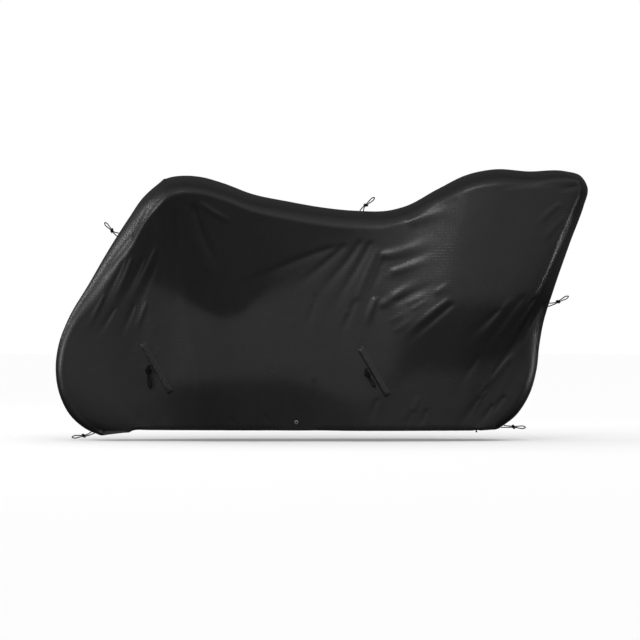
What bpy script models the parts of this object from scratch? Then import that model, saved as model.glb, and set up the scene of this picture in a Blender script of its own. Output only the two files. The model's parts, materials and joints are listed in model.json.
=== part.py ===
"""Fitted bicycle cover of coated ripstop cloth, hanging as it does in use.

Two side panels meet in one seam that runs over the top, from the front end of
the hem opening to its rear end. Five knotted cord loops come out of that
seam. Each panel carries two narrow diagonal flaps, with a loop under each, and
a metal eyelet above the hem, set through a small patch behind the cloth.

Frame, in metres: +X from the front end to the rear end, -Y the near side, +Z
up. The origin lies on the centre plane, just under the cloth at the lowest
stretch of the top, where what is covered holds the cloth up.
"""

import math

import bmesh
import bpy
import numpy as np
from mathutils import Matrix, Vector
from mathutils.bvhtree import BVHTree

# Cloth
CLOTH = 0.0015  # thickness of a panel or a flap
SEAM_GAP = 0.0005  # between the two panels, all along the seam
SURFACE_GAP = 0.0005  # between pieces that lie on each other

# A section of a panel runs straight from its hem point to its seam point, seen
# from the side. "crown" is how far below the seam point the rounded top
# begins, and the widths are distances from the centre plane: at the shoulder
# where the crown begins, at the fold and the knee where the cloth changes its
# slope, and at the hem. "fold_at" and "knee_at" are shares of the way from hem
# to seam, and "fold_round" is how softly the fold turns. At the rear end, where
# sections run nearly along the seam, "rim" is how near to it the cloth turns in.
COLUMNS = (
    "seam_x", "seam_z", "hem_x", "hem_z", "crown", "rim", "shoulder",
    "fold_at", "fold", "fold_round", "knee_at", "knee", "hem",
)
SECTIONS = (
    (-0.845, -0.872, -0.733, -0.858, 0.038, 0.000, 0.075, 0.600, 0.078, 0.080, 0.300, 0.082, 0.086),
    (-0.903, -0.847, -0.722, -0.853, 0.060, 0.000, 0.062, 0.600, 0.072, 0.080, 0.280, 0.080, 0.087),
    (-0.961, -0.797, -0.708, -0.850, 0.052, 0.000, 0.056, 0.600, 0.072, 0.080, 0.260, 0.082, 0.090),
    (-1.002, -0.718, -0.690, -0.849, 0.048, 0.000, 0.053, 0.580, 0.074, 0.080, 0.240, 0.086, 0.094),
    (-1.018, -0.618, -0.670, -0.849, 0.045, 0.000, 0.052, 0.560, 0.076, 0.080, 0.220, 0.090, 0.098),
    (-1.006, -0.521, -0.650, -0.849, 0.045, 0.000, 0.052, 0.540, 0.078, 0.080, 0.200, 0.094, 0.102),
    (-0.971, -0.428, -0.628, -0.849, 0.048, 0.000, 0.056, 0.520, 0.082, 0.080, 0.200, 0.100, 0.106),
    (-0.890, -0.290, -0.590, -0.849, 0.082, 0.000, 0.082, 0.500, 0.097, 0.080, 0.200, 0.112, 0.115),
    (-0.811, -0.154, -0.555, -0.849, 0.102, 0.000, 0.118, 0.640, 0.110, 0.070, 0.200, 0.128, 0.122),
    (-0.735, -0.035, -0.520, -0.849, 0.108, 0.000, 0.170, 0.700, 0.134, 0.060, 0.200, 0.152, 0.130),
    (-0.679, 0.044, -0.485, -0.849, 0.100, 0.000, 0.230, 0.620, 0.147, 0.050, 0.190, 0.172, 0.140),
    (-0.629, 0.089, -0.450, -0.849, 0.096, 0.000, 0.276, 0.560, 0.162, 0.040, 0.180, 0.188, 0.150),
    (-0.587, 0.116, -0.415, -0.849, 0.086, 0.000, 0.298, 0.516, 0.177, 0.030, 0.180, 0.200, 0.156),
    (-0.533, 0.125, -0.375, -0.849, 0.078, 0.000, 0.304, 0.478, 0.183, 0.020, 0.190, 0.200, 0.158),
    (-0.463, 0.122, -0.325, -0.849, 0.075, 0.000, 0.298, 0.447, 0.184, 0.018, 0.195, 0.196, 0.158),
    (-0.378, 0.099, -0.265, -0.849, 0.074, 0.000, 0.276, 0.463, 0.178, 0.018, 0.205, 0.194, 0.157),
    (-0.262, 0.056, -0.185, -0.849, 0.074, 0.000, 0.242, 0.560, 0.172, 0.020, 0.215, 0.190, 0.155),
    (-0.124, 0.027, -0.090, -0.849, 0.074, 0.000, 0.208, 0.656, 0.166, 0.060, 0.215, 0.186, 0.153),
    (0.015, 0.003, 0.010, -0.849, 0.073, 0.000, 0.182, 0.783, 0.162, 0.100, 0.176, 0.183, 0.160),
    (0.139, -0.009, 0.100, -0.850, 0.073, 0.000, 0.166, 0.850, 0.160, 0.060, 0.140, 0.182, 0.168),
    (0.270, -0.007, 0.195, -0.850, 0.074, 0.000, 0.160, 0.700, 0.166, 0.030, 0.150, 0.180, 0.172),
    (0.328, 0.008, 0.250, -0.850, 0.075, 0.000, 0.155, 0.520, 0.186, 0.040, 0.200, 0.176, 0.170),
    (0.455, 0.075, 0.340, -0.850, 0.075, 0.000, 0.164, 0.470, 0.205, 0.030, 0.250, 0.168, 0.165),
    (0.571, 0.131, 0.405, -0.850, 0.075, 0.000, 0.194, 0.484, 0.212, 0.035, 0.235, 0.162, 0.158),
    (0.676, 0.151, 0.452, -0.850, 0.074, 0.000, 0.205, 0.478, 0.214, 0.045, 0.232, 0.158, 0.154),
    (0.803, 0.143, 0.487, -0.850, 0.070, 0.000, 0.207, 0.482, 0.215, 0.050, 0.250, 0.150, 0.150),
    (0.946, 0.144, 0.512, -0.850, 0.050, 0.020, 0.206, 0.482, 0.213, 0.050, 0.276, 0.141, 0.145),
    (1.004, 0.127, 0.524, -0.850, 0.035, 0.050, 0.202, 0.498, 0.208, 0.050, 0.290, 0.134, 0.142),
    (1.031, 0.081, 0.534, -0.850, 0.020, 0.062, 0.192, 0.530, 0.199, 0.050, 0.320, 0.127, 0.140),
    (1.015, 0.012, 0.543, -0.850, 0.015, 0.060, 0.176, 0.578, 0.186, 0.050, 0.350, 0.120, 0.138),
    (0.965, -0.124, 0.553, -0.850, 0.012, 0.060, 0.142, 0.700, 0.154, 0.050, 0.440, 0.114, 0.136),
    (0.899, -0.313, 0.563, -0.850, 0.012, 0.066, 0.104, 0.780, 0.114, 0.070, 0.520, 0.112, 0.134),
    (0.861, -0.436, 0.569, -0.850, 0.014, 0.058, 0.094, 0.740, 0.103, 0.080, 0.500, 0.113, 0.133),
    (0.845, -0.525, 0.574, -0.850, 0.018, 0.048, 0.090, 0.660, 0.103, 0.080, 0.420, 0.116, 0.132),
    (0.834, -0.621, 0.579, -0.850, 0.020, 0.042, 0.088, 0.600, 0.106, 0.080, 0.340, 0.119, 0.131),
    (0.807, -0.714, 0.585, -0.850, 0.022, 0.042, 0.090, 0.600, 0.107, 0.080, 0.300, 0.121, 0.130),
    (0.753, -0.797, 0.592, -0.850, 0.030, 0.030, 0.100, 0.600, 0.108, 0.080, 0.300, 0.122, 0.128),
    (0.690, -0.846, 0.600, -0.850, 0.030, 0.024, 0.112, 0.600, 0.115, 0.080, 0.300, 0.122, 0.125),
)
KNEE_ROUND = 0.035  # metres over which the knee's corner is rounded; fold_round likewise

# Creases of the near panel: three points of its line as seen from the side, half
# its width to the left and to the right of the line's run, and its depth. A
# ridge's depth is positive and a trough's negative.
CREASE_COLUMNS = ("x1", "z1", "x2", "z2", "x3", "z3", "left", "right", "depth")
CREASES = (
    # down the front slope
    (-0.714, -0.181, -0.749, -0.274, -0.826, -0.421, 0.012, 0.009, 0.0026),
    (-0.618, -0.147, -0.668, -0.251, -0.749, -0.405, 0.013, 0.008, 0.0026),
    (-0.741, -0.189, -0.787, -0.282, -0.861, -0.428, 0.009, 0.012, -0.0022),
    (-0.668, -0.181, -0.714, -0.282, -0.795, -0.428, 0.009, 0.013, -0.0022),
    (-0.618, -0.205, -0.660, -0.301, -0.726, -0.436, 0.010, 0.014, -0.0018),
    # hanging from the front hump
    (-0.471, 0.023, -0.432, -0.120, -0.378, -0.239, 0.007, 0.022, -0.0070),
    (-0.502, 0.012, -0.479, -0.120, -0.452, -0.212, 0.008, 0.010, 0.0025),
    (-0.428, -0.228, -0.421, -0.305, -0.413, -0.378, 0.008, 0.010, -0.0025),
    (0.081, -0.143, -0.116, -0.212, -0.328, -0.317, 0.018, 0.012, -0.0030),
    # fan below the lowest stretch of the top
    (0.104, -0.131, 0.008, -0.220, -0.131, -0.328, 0.016, 0.011, -0.0034),
    (0.162, -0.112, 0.081, -0.228, -0.050, -0.374, 0.016, 0.010, -0.0038),
    (0.197, -0.120, 0.135, -0.235, 0.000, -0.459, 0.016, 0.010, -0.0042),
    (0.143, -0.336, 0.097, -0.428, 0.031, -0.537, 0.016, 0.010, -0.0034),
    (0.228, -0.143, 0.170, -0.274, 0.089, -0.467, 0.012, 0.009, 0.0030),
    (0.255, -0.166, 0.216, -0.266, 0.178, -0.351, 0.012, 0.009, -0.0025),
    (0.216, -0.340, 0.197, -0.394, 0.178, -0.467, 0.007, 0.012, 0.0080),
    # across the face in front of the rear hump
    (0.328, -0.050, 0.432, -0.012, 0.544, 0.019, 0.013, 0.028, 0.0045),
    (0.232, -0.170, 0.347, -0.147, 0.471, -0.120, 0.014, 0.028, 0.0050),
    (0.270, -0.228, 0.363, -0.201, 0.463, -0.170, 0.012, 0.026, 0.0045),
    (0.239, -0.262, 0.355, -0.239, 0.463, -0.205, 0.010, 0.020, 0.0020),
    (0.224, -0.371, 0.297, -0.317, 0.371, -0.274, 0.012, 0.022, 0.0050),
    (0.270, -0.371, 0.367, -0.320, 0.498, -0.270, 0.014, 0.009, -0.0050),
    (0.432, -0.328, 0.467, -0.305, 0.506, -0.282, 0.009, 0.018, 0.0030),
    (0.502, -0.340, 0.401, -0.417, 0.301, -0.510, 0.014, 0.009, 0.0035),
    (0.517, -0.359, 0.425, -0.436, 0.317, -0.529, 0.009, 0.016, -0.0045),
    # drawn from the rear edge down into the hollow below the rear hump
    (0.784, -0.324, 0.691, -0.448, 0.587, -0.594, 0.009, 0.015, -0.0050),
    (0.826, -0.332, 0.753, -0.436, 0.664, -0.564, 0.009, 0.015, -0.0050),
    (0.861, -0.351, 0.811, -0.452, 0.745, -0.560, 0.009, 0.013, -0.0050),
    (0.691, -0.382, 0.621, -0.444, 0.540, -0.513, 0.010, 0.014, -0.0035),
    (0.730, -0.336, 0.645, -0.452, 0.556, -0.552, 0.014, 0.010, 0.0030),
    # low on the rear end and above the hem
    (0.741, -0.552, 0.664, -0.645, 0.587, -0.737, 0.016, 0.009, 0.0035),
    (0.618, -0.714, 0.571, -0.780, 0.537, -0.838, 0.007, 0.011, -0.0040),
    (0.668, -0.745, 0.633, -0.795, 0.602, -0.841, 0.007, 0.010, -0.0035),
    (0.714, -0.714, 0.675, -0.760, 0.641, -0.803, 0.008, 0.012, -0.0030),
    (0.355, -0.768, 0.340, -0.807, 0.317, -0.845, 0.006, 0.010, -0.0030),
    (0.405, -0.764, 0.394, -0.807, 0.374, -0.845, 0.006, 0.010, -0.0030),
    (-0.023, -0.645, -0.023, -0.730, -0.019, -0.830, 0.012, 0.008, -0.0025),
    # soft waves of the rear top
    (0.687, 0.073, 0.811, 0.085, 0.926, 0.085, 0.010, 0.007, -0.0030),
    (1.023, 0.089, 0.950, 0.073, 0.888, 0.066, 0.007, 0.010, -0.0030),
    (0.919, 0.019, 0.861, -0.027, 0.803, -0.089, 0.012, 0.009, 0.0025),
)
CREASE_STEPS = 8  # straight pieces that stand for one crease's curve
CREASE_REACH = 3.0  # widths from its line where a crease has died out
CREASE_RISE = 0.15  # share of its length over which a crease gets its full depth
CREASE_FADE = 0.60  # and over which it dies out at its far end
CREASE_GROWTH = (0.7, 1.3)  # its width at its two ends, as shares of the table's
FAR_SEED = 7  # the far panel's creases are the near one's, each moved a little
FAR_SHIFT = 0.030
FAR_SHARE = (0.6, 1.1)  # of the near crease's depth
EDGE_CALM = 0.05  # creases fade out within this share of a section below the seam
RIM_LEAST = 0.002  # a narrower rim than this is left out
EDGE_STEPS = 400  # points that stand for the seam's line when a rim is worked out

GRID_ALONG = 281  # points along the seam before the mesh is thinned out
GRID_SIDE = 66  # points from the hem to the shoulder
GRID_CROWN = 15  # points from the shoulder to the seam
PANEL_FACES = 1850  # triangles on one side of a panel's cloth after thinning
SEAM_SNAP = 0.0035  # points this near the centre plane lie on the seam

# Eyelet above the hem, and the patch that backs it
EYELET_AT = (-0.090, -0.818)  # x and z of its centre
EYELET_HOLE_R = 0.0031
EYELET_BARREL_R = 0.0042
EYELET_FLANGE_R = 0.0075
FLANGE = 0.0009  # thickness of the eyelet's flanges
EYELET_LIP = 0.0008  # the hole's rim is bevelled this far at the outer face
EYELET_STEPS = 24
CLOTH_HOLE_R = 0.0047
PATCH = 0.0010  # thickness
PATCH_SIZE = (0.038, 0.032)
PATCH_CORNER = 0.008
FLAT_R = 0.034  # the cloth hangs flat and upright this far round the eyelet
BLEND_R = 0.100  # and is back on its own slope this far from it

# Diagonal flaps of the near panel, by the two ends of their middle line
FLAPS = {
    "front": ((-0.676, -0.517), (-0.568, -0.706)),
    "rear": ((0.154, -0.535), (0.259, -0.716)),
}
FLAP_WIDTH = 0.026
FLAP_RISE = 0.004  # how far its crest stands off the panel
FLAP_RISES = (  # shares of the width from its middle line, and of the rise there
    (-0.5, 0.0), (-0.26, 1.0), (0.0, 0.85), (0.25, 0.5), (0.5, 0.0),
)
FLAP_END = 0.08  # share of its length over which the rise starts and ends
FLAP_STEPS = 14

# Cord loops, by x and z of three points: where the cord leaves the cloth, the
# knot's centre, and the tip. Those of the seam stand in the centre plane.
CORD_R = 0.0021
CORD_STEP = 0.007
STRAND_PITCH = 0.0046  # between the two strands inside the knot
LOOP_WIDTH = 0.011
LOOPS = {
    "loop_nose": ((-0.779, -0.095), (-0.803, -0.083), (-0.831, -0.053)),
    "loop_top": ((0.163, -0.009), (0.177, 0.015), (0.210, 0.044)),
    "loop_tail": ((0.885, -0.367), (0.919, -0.358), (0.959, -0.337)),
    "loop_hem_front": ((-0.876, -0.861), (-0.912, -0.875), (-0.957, -0.881)),
    "loop_hem_rear": ((0.708, -0.836), (0.747, -0.841), (0.793, -0.843)),
}
SEAM_SPREAD = 0.013  # between a loop's two strands where they leave the seam
SEAM_STAND_OFF = 0.0026  # of the strands' ends from the panels' outer face
# Those under the flaps hang close to the panel.
FLAP_LOOPS = {
    "front": ((-0.6510, -0.6020), (-0.6550, -0.6230), (-0.6480, -0.6910)),
    "rear": ((0.1765, -0.6130), (0.1800, -0.6350), (0.2090, -0.6840)),
}
FLAP_STAND_OFF = (0.0040, 0.0100, 0.0055)  # of the three points, from the panel
FLAP_SPREAD = 0.0050

LOOP_SPREADS = ((0.50, 0.36), (0.82, 0.42))  # share of the way to the tip, and of the width

# The knot of each loop: cord drawn tight in slanting turns round the two strands.
# away is from the middle of a strand to the middle of the turns, and the strands
# run straight for the lead before and behind the knot's centre.
KNOT_COLUMNS = ("radius", "away", "turns", "pitch", "slant", "lead")
KNOTS = {
    "seam": (0.0018, 0.0044, 2, 0.0044, 0.0018, 0.0095),
    "flap": (0.0025, 0.0056, 3, 0.0056, 0.0020, 0.0125),
}
KNOT_TURN_STEPS = 10


def smooth(knots, values, at):
    """A curve through the values with no corners, read at the places in at."""
    knots, values = np.asarray(knots, float), np.asarray(values, float)
    span = np.diff(knots)
    slope = np.diff(values) / span
    inner = (slope[:-1] * span[1:] + slope[1:] * span[:-1]) / (span[1:] + span[:-1])
    tangent = np.concatenate([slope[:1], inner, slope[-1:]])
    i = np.clip(np.searchsorted(knots, at, side="right") - 1, 0, len(span) - 1)
    t = (at - knots[i]) / span[i]
    return (
        (2 * t**3 - 3 * t**2 + 1) * values[i]
        + (t**3 - 2 * t**2 + t) * span[i] * tangent[i]
        + (3 * t**2 - 2 * t**3) * values[i + 1]
        + (t**3 - t**2) * span[i] * tangent[i + 1]
    )


def rounded(knots, values, rounds, at):
    """Straight runs between the values, with each inner corner rounded off."""
    slopes = np.diff(values) / np.diff(knots)
    total = values[0] + slopes[0] * at
    for knot, bend, turn in zip(knots[1:-1], np.diff(slopes), rounds):
        total = total + bend * (
            (at - knot + np.hypot(at - knot, turn)) - (math.hypot(knot, turn) - knot)
        ) / 2
    return total


def section_width(row, length, crown, side):
    """Widths up a section's side, from the hem to the shoulder."""
    knots = np.array([0.0, row["knee_at"], row["fold_at"], 1 - crown]) / (1 - crown)
    widths = np.array([row[name] for name in ("hem", "knee", "fold", "shoulder")])
    rounds = (KNEE_ROUND / length, row["fold_round"] / length)
    return rounded(knots, widths, rounds, side)


def section_rows(count):
    """Every column of the sections, read at count places along the seam."""
    table = dict(zip(COLUMNS, np.array(SECTIONS).T))
    steps = np.hypot(np.diff(table["seam_x"]), np.diff(table["seam_z"]))
    along = np.concatenate([[0.0], np.cumsum(steps)])
    at = np.linspace(0.0, along[-1], count)
    return {name: smooth(along, column, at) for name, column in table.items()}


def rounded_edge(x, z, seam, rim):
    """The share of the width left at each place, as the cloth turns round to the seam."""
    start, step = seam[:-1], np.diff(seam, axis=0)
    away = np.stack([x, z], axis=1)[:, None, :] - start
    t = np.clip((away * step).sum(axis=2) / (step**2).sum(axis=1), 0, 1)
    gap = np.linalg.norm(away - t[..., None] * step, axis=2).min(axis=1)
    return np.sqrt(1 - (1 - np.clip(gap / rim, 0, 1)) ** 2)


def half_surface():
    """Points of the inner face of the near panel, as an array [along, up, xyz]."""
    rows = section_rows(GRID_ALONG)
    side = np.linspace(0.0, 1.0, GRID_SIDE)
    turn = np.linspace(0.0, math.pi / 2, GRID_CROWN)[1:]
    edge = section_rows(EDGE_STEPS)
    edge = np.stack([edge["seam_x"], edge["seam_z"]], axis=1)
    points = np.zeros((GRID_ALONG, GRID_SIDE + GRID_CROWN - 1, 3))
    for i in range(GRID_ALONG):
        row = {name: column[i] for name, column in rows.items()}
        hem = np.array([row["hem_x"], row["hem_z"]])
        seam = np.array([row["seam_x"], row["seam_z"]])
        length = np.linalg.norm(seam - hem)
        crown = row["crown"] / length
        sides = section_width(row, length, crown, side)
        share = np.concatenate([side * (1 - crown), 1 - crown + crown * np.sin(turn)])
        width = np.concatenate([sides, sides[-1] * np.cos(turn)])
        x = hem[0] + (seam[0] - hem[0]) * share
        z = hem[1] + (seam[1] - hem[1]) * share
        if row["rim"] > RIM_LEAST:
            width = width * rounded_edge(x, z, edge, row["rim"])
        points[i, :, 0] = x
        points[i, :, 2] = z
        points[i, :, 1] = -np.maximum(width, SEAM_GAP / 2)
    return points


def crease_line(row):
    """The curve through a crease's three points, as points about evenly apart."""
    t = np.linspace(0.0, 1.0, CREASE_STEPS + 1)[:, None]
    first = np.array([row["x1"], row["z1"]])
    middle = np.array([row["x2"], row["z2"]])
    last = np.array([row["x3"], row["z3"]])
    pull = 2 * middle - (first + last) / 2
    return (1 - t) ** 2 * first + 2 * t * (1 - t) * pull + t**2 * last


def eased(share):
    """From 0 to 1 without corners, as share goes from 0 to 1."""
    share = np.clip(share, 0.0, 1.0)
    return share * share * (3 - 2 * share)


def crease_depth(rows, x, z):
    """How far the creases move the cloth outwards at each place of a side view."""
    ridge, trough = np.zeros_like(x), np.zeros_like(x)
    for row in rows:
        line = crease_line(row)
        reach = CREASE_REACH * max(row["left"], row["right"])
        low, high = line.min(axis=0) - reach, line.max(axis=0) + reach
        near = (x > low[0]) & (x < high[0]) & (z > low[1]) & (z < high[1])
        px, pz = x[near], z[near]
        nearest = np.full(px.shape, np.inf)
        along = np.zeros_like(px)
        half = np.ones_like(px)
        for k in range(CREASE_STEPS):
            (ax, az), (bx, bz) = line[k], line[k + 1]
            size = (bx - ax) ** 2 + (bz - az) ** 2
            t = np.clip(((px - ax) * (bx - ax) + (pz - az) * (bz - az)) / size, 0, 1)
            gap = np.hypot(px - ax - t * (bx - ax), pz - az - t * (bz - az))
            closer = gap < nearest
            nearest = np.where(closer, gap, nearest)
            along = np.where(closer, (k + t) / CREASE_STEPS, along)
            is_left = (bx - ax) * (pz - az) > (bz - az) * (px - ax)
            half = np.where(closer, np.where(is_left, row["left"], row["right"]), half)
        width = half * (CREASE_GROWTH[0] + (CREASE_GROWTH[1] - CREASE_GROWTH[0]) * along)
        fade = eased(along / CREASE_RISE) * eased((1 - along) / CREASE_FADE)
        push = row["depth"] * fade * np.exp(-((nearest / width) ** 2))
        ridge[near] = np.maximum(ridge[near], push)
        trough[near] = np.minimum(trough[near], push)
    return ridge + trough


def panel_creases(table, side):
    """The rows of a crease table for one panel."""
    rows = [dict(zip(CREASE_COLUMNS, values)) for values in table]
    if side > 0:
        random = np.random.default_rng(FAR_SEED)
        for row in rows:
            for axis in "xz":
                shift = random.uniform(-FAR_SHIFT, FAR_SHIFT)
                for point in "123":
                    row[axis + point] += shift
            row["depth"] *= random.uniform(*FAR_SHARE)
    return rows


def panel_points(side):
    """The creased inner face of the near (side -1) or the far (side +1) panel."""
    points = half_surface()
    across = np.gradient(points, axis=0)
    up = np.gradient(points, axis=1)
    normal = np.cross(across, up)
    normal /= np.maximum(np.linalg.norm(normal, axis=2, keepdims=True), 1e-9)
    depth = crease_depth(panel_creases(CREASES, side), points[..., 0], points[..., 2])
    rows = points.shape[1]
    calm = np.clip((1 - np.arange(rows) / (rows - 1)) / EDGE_CALM, 0, 1)
    points = points + normal * (depth * calm)[..., None]
    points[..., 1] = np.minimum(points[..., 1], -SEAM_GAP / 2)
    points[..., 1] *= -side
    return points


def material(name, colour, roughness, metallic=0.0):
    made = bpy.data.materials.new(name)
    made.use_nodes = True
    shader = made.node_tree.nodes["Principled BSDF"]
    shader.inputs["Base Color"].default_value = (*colour, 1.0)
    shader.inputs["Roughness"].default_value = roughness
    shader.inputs["Metallic"].default_value = metallic
    return made


def new_object(name, data, finish=None):
    made = bpy.data.objects.new(name, data)
    PART.objects.link(made)
    if finish:
        data.materials.clear()
        data.materials.append(finish)
    return made


def evaluated_mesh(obj):
    bpy.context.view_layer.update()
    seen = obj.evaluated_get(bpy.context.evaluated_depsgraph_get())
    return bpy.data.meshes.new_from_object(seen)


def cutter_object(name, mesh):
    made = bpy.data.objects.new(name, mesh)
    CUTTERS.objects.link(made)
    made.hide_render = True
    made.display_type = "WIRE"
    return made


def cut(obj, cutter):
    boolean = obj.modifiers.new("cut", "BOOLEAN")
    boolean.operation = "DIFFERENCE"
    boolean.solver = "EXACT"
    boolean.object = cutter


def round_mesh(name, radii, depth, steps):
    """A closed cylinder along Z about the origin, round or oval."""
    mesh = bpy.data.meshes.new(name)
    shape = bmesh.new()
    bmesh.ops.create_cone(
        shape, cap_ends=True, segments=steps, radius1=1.0, radius2=1.0, depth=depth
    )
    bmesh.ops.scale(shape, vec=(radii[0], radii[1], 1.0), verts=shape.verts)
    shape.to_mesh(mesh)
    shape.free()
    return mesh


def placed(centre, along, across):
    """The matrix that sets local Z along one direction and local X across it."""
    z = Vector(along).normalized()
    y = z.cross(Vector(across)).normalized()
    x = y.cross(z)
    turn = Matrix((x, y, z)).transposed()
    return Matrix.Translation(Vector(centre)) @ turn.to_4x4()


def make_panel(name, side, finish):
    """One side panel; its grid is the inner face, and the cloth lies outside it."""
    points = panel_points(side)
    wide, high = points.shape[:2]
    faces = []
    for i in range(wide - 1):
        for j in range(high - 1):
            a, b = i * high + j, (i + 1) * high + j
            faces.append((a, b, b + 1, a + 1) if side < 0 else (a, a + 1, b + 1, b))
    grid = bpy.data.meshes.new(name + "_grid")
    grid.from_pydata(points.reshape(-1, 3).tolist(), [], faces)
    draft = bpy.data.objects.new(name + "_draft", grid)
    PART.objects.link(draft)

    centre, _ = outer_point(BVHTree.FromObject(draft, graph()), *EYELET_AT, side)
    thinned = draft.vertex_groups.new(name="thinned")
    for vertex in grid.vertices:
        gap = math.hypot(vertex.co.x - EYELET_AT[0], vertex.co.z - EYELET_AT[1])
        thinned.add([vertex.index], 1.0 if gap > FLAT_R else 0.0, "REPLACE")
        away = min(max((gap - FLAT_R) / (BLEND_R - FLAT_R), 0.0), 1.0)
        vertex.co.y += (centre.y - vertex.co.y) * (1 - away * away * (3 - 2 * away))

    thin = draft.modifiers.new("thin_out", "DECIMATE")
    thin.ratio = PANEL_FACES / (2 * len(faces))
    thin.vertex_group = "thinned"
    mesh = evaluated_mesh(draft)
    bpy.data.objects.remove(draft)
    for vertex in mesh.vertices:
        if abs(vertex.co.y) < SEAM_SNAP:
            vertex.co.y = side * SEAM_GAP / 2
    mesh.name = name

    panel = new_object(name, mesh, finish)
    cloth = panel.modifiers.new("cloth", "SOLIDIFY")
    cloth.thickness = CLOTH
    cloth.offset = 1.0
    cloth.use_even_offset = True
    hole = cutter_object(
        name + "_hole", round_mesh("hole", (CLOTH_HOLE_R,) * 2, 0.03, EYELET_STEPS)
    )
    hole.matrix_world = placed(centre, (0, side, 0), (1, 0, 0))
    cut(panel, hole)
    return panel, centre


def graph():
    bpy.context.view_layer.update()
    return bpy.context.evaluated_depsgraph_get()


def outer_point(tree, x, z, side):
    """Where the cloth of that side is met, coming from outside, and its outward normal."""
    place, normal, _, _ = tree.ray_cast(Vector((x, side * 2.0, z)), Vector((0, -side, 0)))
    if normal.y * side < 0:
        normal = -normal
    return place, normal


def make_eyelet(prefix, centre, side, cloth_finish, metal_finish):
    """The patch behind the cloth and the metal eyelet through both."""
    place = placed(centre, (0, side, 0), (1, 0, 0))
    outer_face = CLOTH + SURFACE_GAP
    patch_face = -SURFACE_GAP
    patch_back = patch_face - PATCH
    inner_face = patch_back - SURFACE_GAP

    outline = bpy.data.curves.new(prefix + "_eyelet_patch", "CURVE")
    outline.dimensions = "2D"
    outline.fill_mode = "BOTH"
    outline.extrude = PATCH / 2
    half_x, half_z = PATCH_SIZE[0] / 2, PATCH_SIZE[1] / 2
    corners = []
    for quarter, (sx, sz) in enumerate(((1, 1), (-1, 1), (-1, -1), (1, -1))):
        for k in range(4):
            angle = (quarter + k / 3) * math.pi / 2
            corners.append((
                sx * (half_x - PATCH_CORNER) + PATCH_CORNER * math.cos(angle),
                sz * (half_z - PATCH_CORNER) + PATCH_CORNER * math.sin(angle),
            ))
    ring = [
        (CLOTH_HOLE_R * math.cos(a), CLOTH_HOLE_R * math.sin(a))
        for a in np.linspace(0, 2 * math.pi, EYELET_STEPS, endpoint=False)
    ]
    for loop in (corners, ring):
        spline = outline.splines.new("POLY")
        spline.points.add(len(loop) - 1)
        spline.use_cyclic_u = True
        for point, (px, py) in zip(spline.points, loop):
            point.co = (px, py, 0.0, 1.0)
    patch = new_object(prefix + "_eyelet_patch", outline, cloth_finish)
    patch.matrix_world = place @ Matrix.Translation((0, 0, (patch_face + patch_back) / 2))

    profile = (
        (EYELET_HOLE_R, outer_face + FLANGE * 0.6),
        (EYELET_HOLE_R + EYELET_LIP, outer_face + FLANGE),
        (EYELET_FLANGE_R - 0.0010, outer_face + FLANGE * 0.8),
        (EYELET_FLANGE_R, outer_face),
        (EYELET_BARREL_R, outer_face),
        (EYELET_BARREL_R, inner_face),
        (EYELET_FLANGE_R, inner_face),
        (EYELET_FLANGE_R - 0.0005, inner_face - FLANGE),
        (EYELET_HOLE_R, inner_face - FLANGE),
    )
    mesh = bpy.data.meshes.new(prefix + "_eyelet")
    count = len(profile)
    mesh.from_pydata(
        [(r, 0.0, h) for r, h in profile], [(k, (k + 1) % count) for k in range(count)], []
    )
    eyelet = new_object(prefix + "_eyelet", mesh, metal_finish)
    turned = eyelet.modifiers.new("turned", "SCREW")
    turned.steps = turned.render_steps = EYELET_STEPS
    turned.use_merge_vertices = True
    turned.merge_threshold = 0.00001
    eyelet.matrix_world = place


def make_flap(name, ends, side, tree, finish):
    """A narrow strip over the panel, raised along its lower edge."""
    start, end = (Vector((x, 0, z)) for x, z in ends)
    along = (end - start).normalized()
    across = Vector((-along.z, 0, along.x))
    points, faces = [], []
    for k in range(FLAP_STEPS + 1):
        on_line = start.lerp(end, k / FLAP_STEPS)
        fade = math.sin(math.pi * min(max(k / FLAP_STEPS, FLAP_END), 1 - FLAP_END)) ** 0.5
        for offset, rise in FLAP_RISES:
            place = on_line + across * (offset * FLAP_WIDTH)
            hit, normal = outer_point(tree, place.x, place.z, side)
            points.append(hit + normal * (2 * SURFACE_GAP + FLAP_RISE * rise * fade))
    count = len(FLAP_RISES)
    for k in range(FLAP_STEPS):
        for j in range(count - 1):
            a, b = k * count + j, (k + 1) * count + j
            faces.append((a, b, b + 1, a + 1) if side < 0 else (a, a + 1, b + 1, b))
    mesh = bpy.data.meshes.new(name)
    mesh.from_pydata([tuple(p) for p in points], [], faces)
    flap = new_object(name, mesh, finish)
    cloth = flap.modifiers.new("cloth", "SOLIDIFY")
    cloth.thickness = CLOTH
    cloth.offset = 1.0


def flap_loop_places(place, side, tree):
    """Where the cord leaves the flap, the knot's centre and the tip, and the way out."""
    places = []
    for (x, z), stand_off in zip(FLAP_LOOPS[place], FLAP_STAND_OFF):
        hit, normal = outer_point(tree, x, z, side)
        places.append(hit + normal * stand_off)
    return places, normal


def seam_roots(x, z):
    """The two strands' ends just off the seam, nearest to that place of a side view."""
    rows = section_rows(GRID_ALONG)
    line = np.stack([rows["seam_x"], rows["seam_z"]], axis=1)
    k = int(np.argmin(np.hypot(line[:, 0] - x, line[:, 1] - z)))
    run = line[k + 1] - line[k - 1]
    run /= np.linalg.norm(run)
    outward = Vector((-run[1], 0, run[0]))
    middle = Vector((line[k][0], 0, line[k][1])) + outward * (CLOTH + SEAM_STAND_OFF)
    step = Vector((run[0], 0, run[1])) * (SEAM_SPREAD / 2)
    return middle + step, middle - step


def flap_roots(leaves, knot, normal):
    """The two strands' ends beside a flap, side by side on the panel."""
    step = normal.cross(knot - leaves).normalized() * (FLAP_SPREAD / 2)
    return leaves + step, leaves - step


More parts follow.
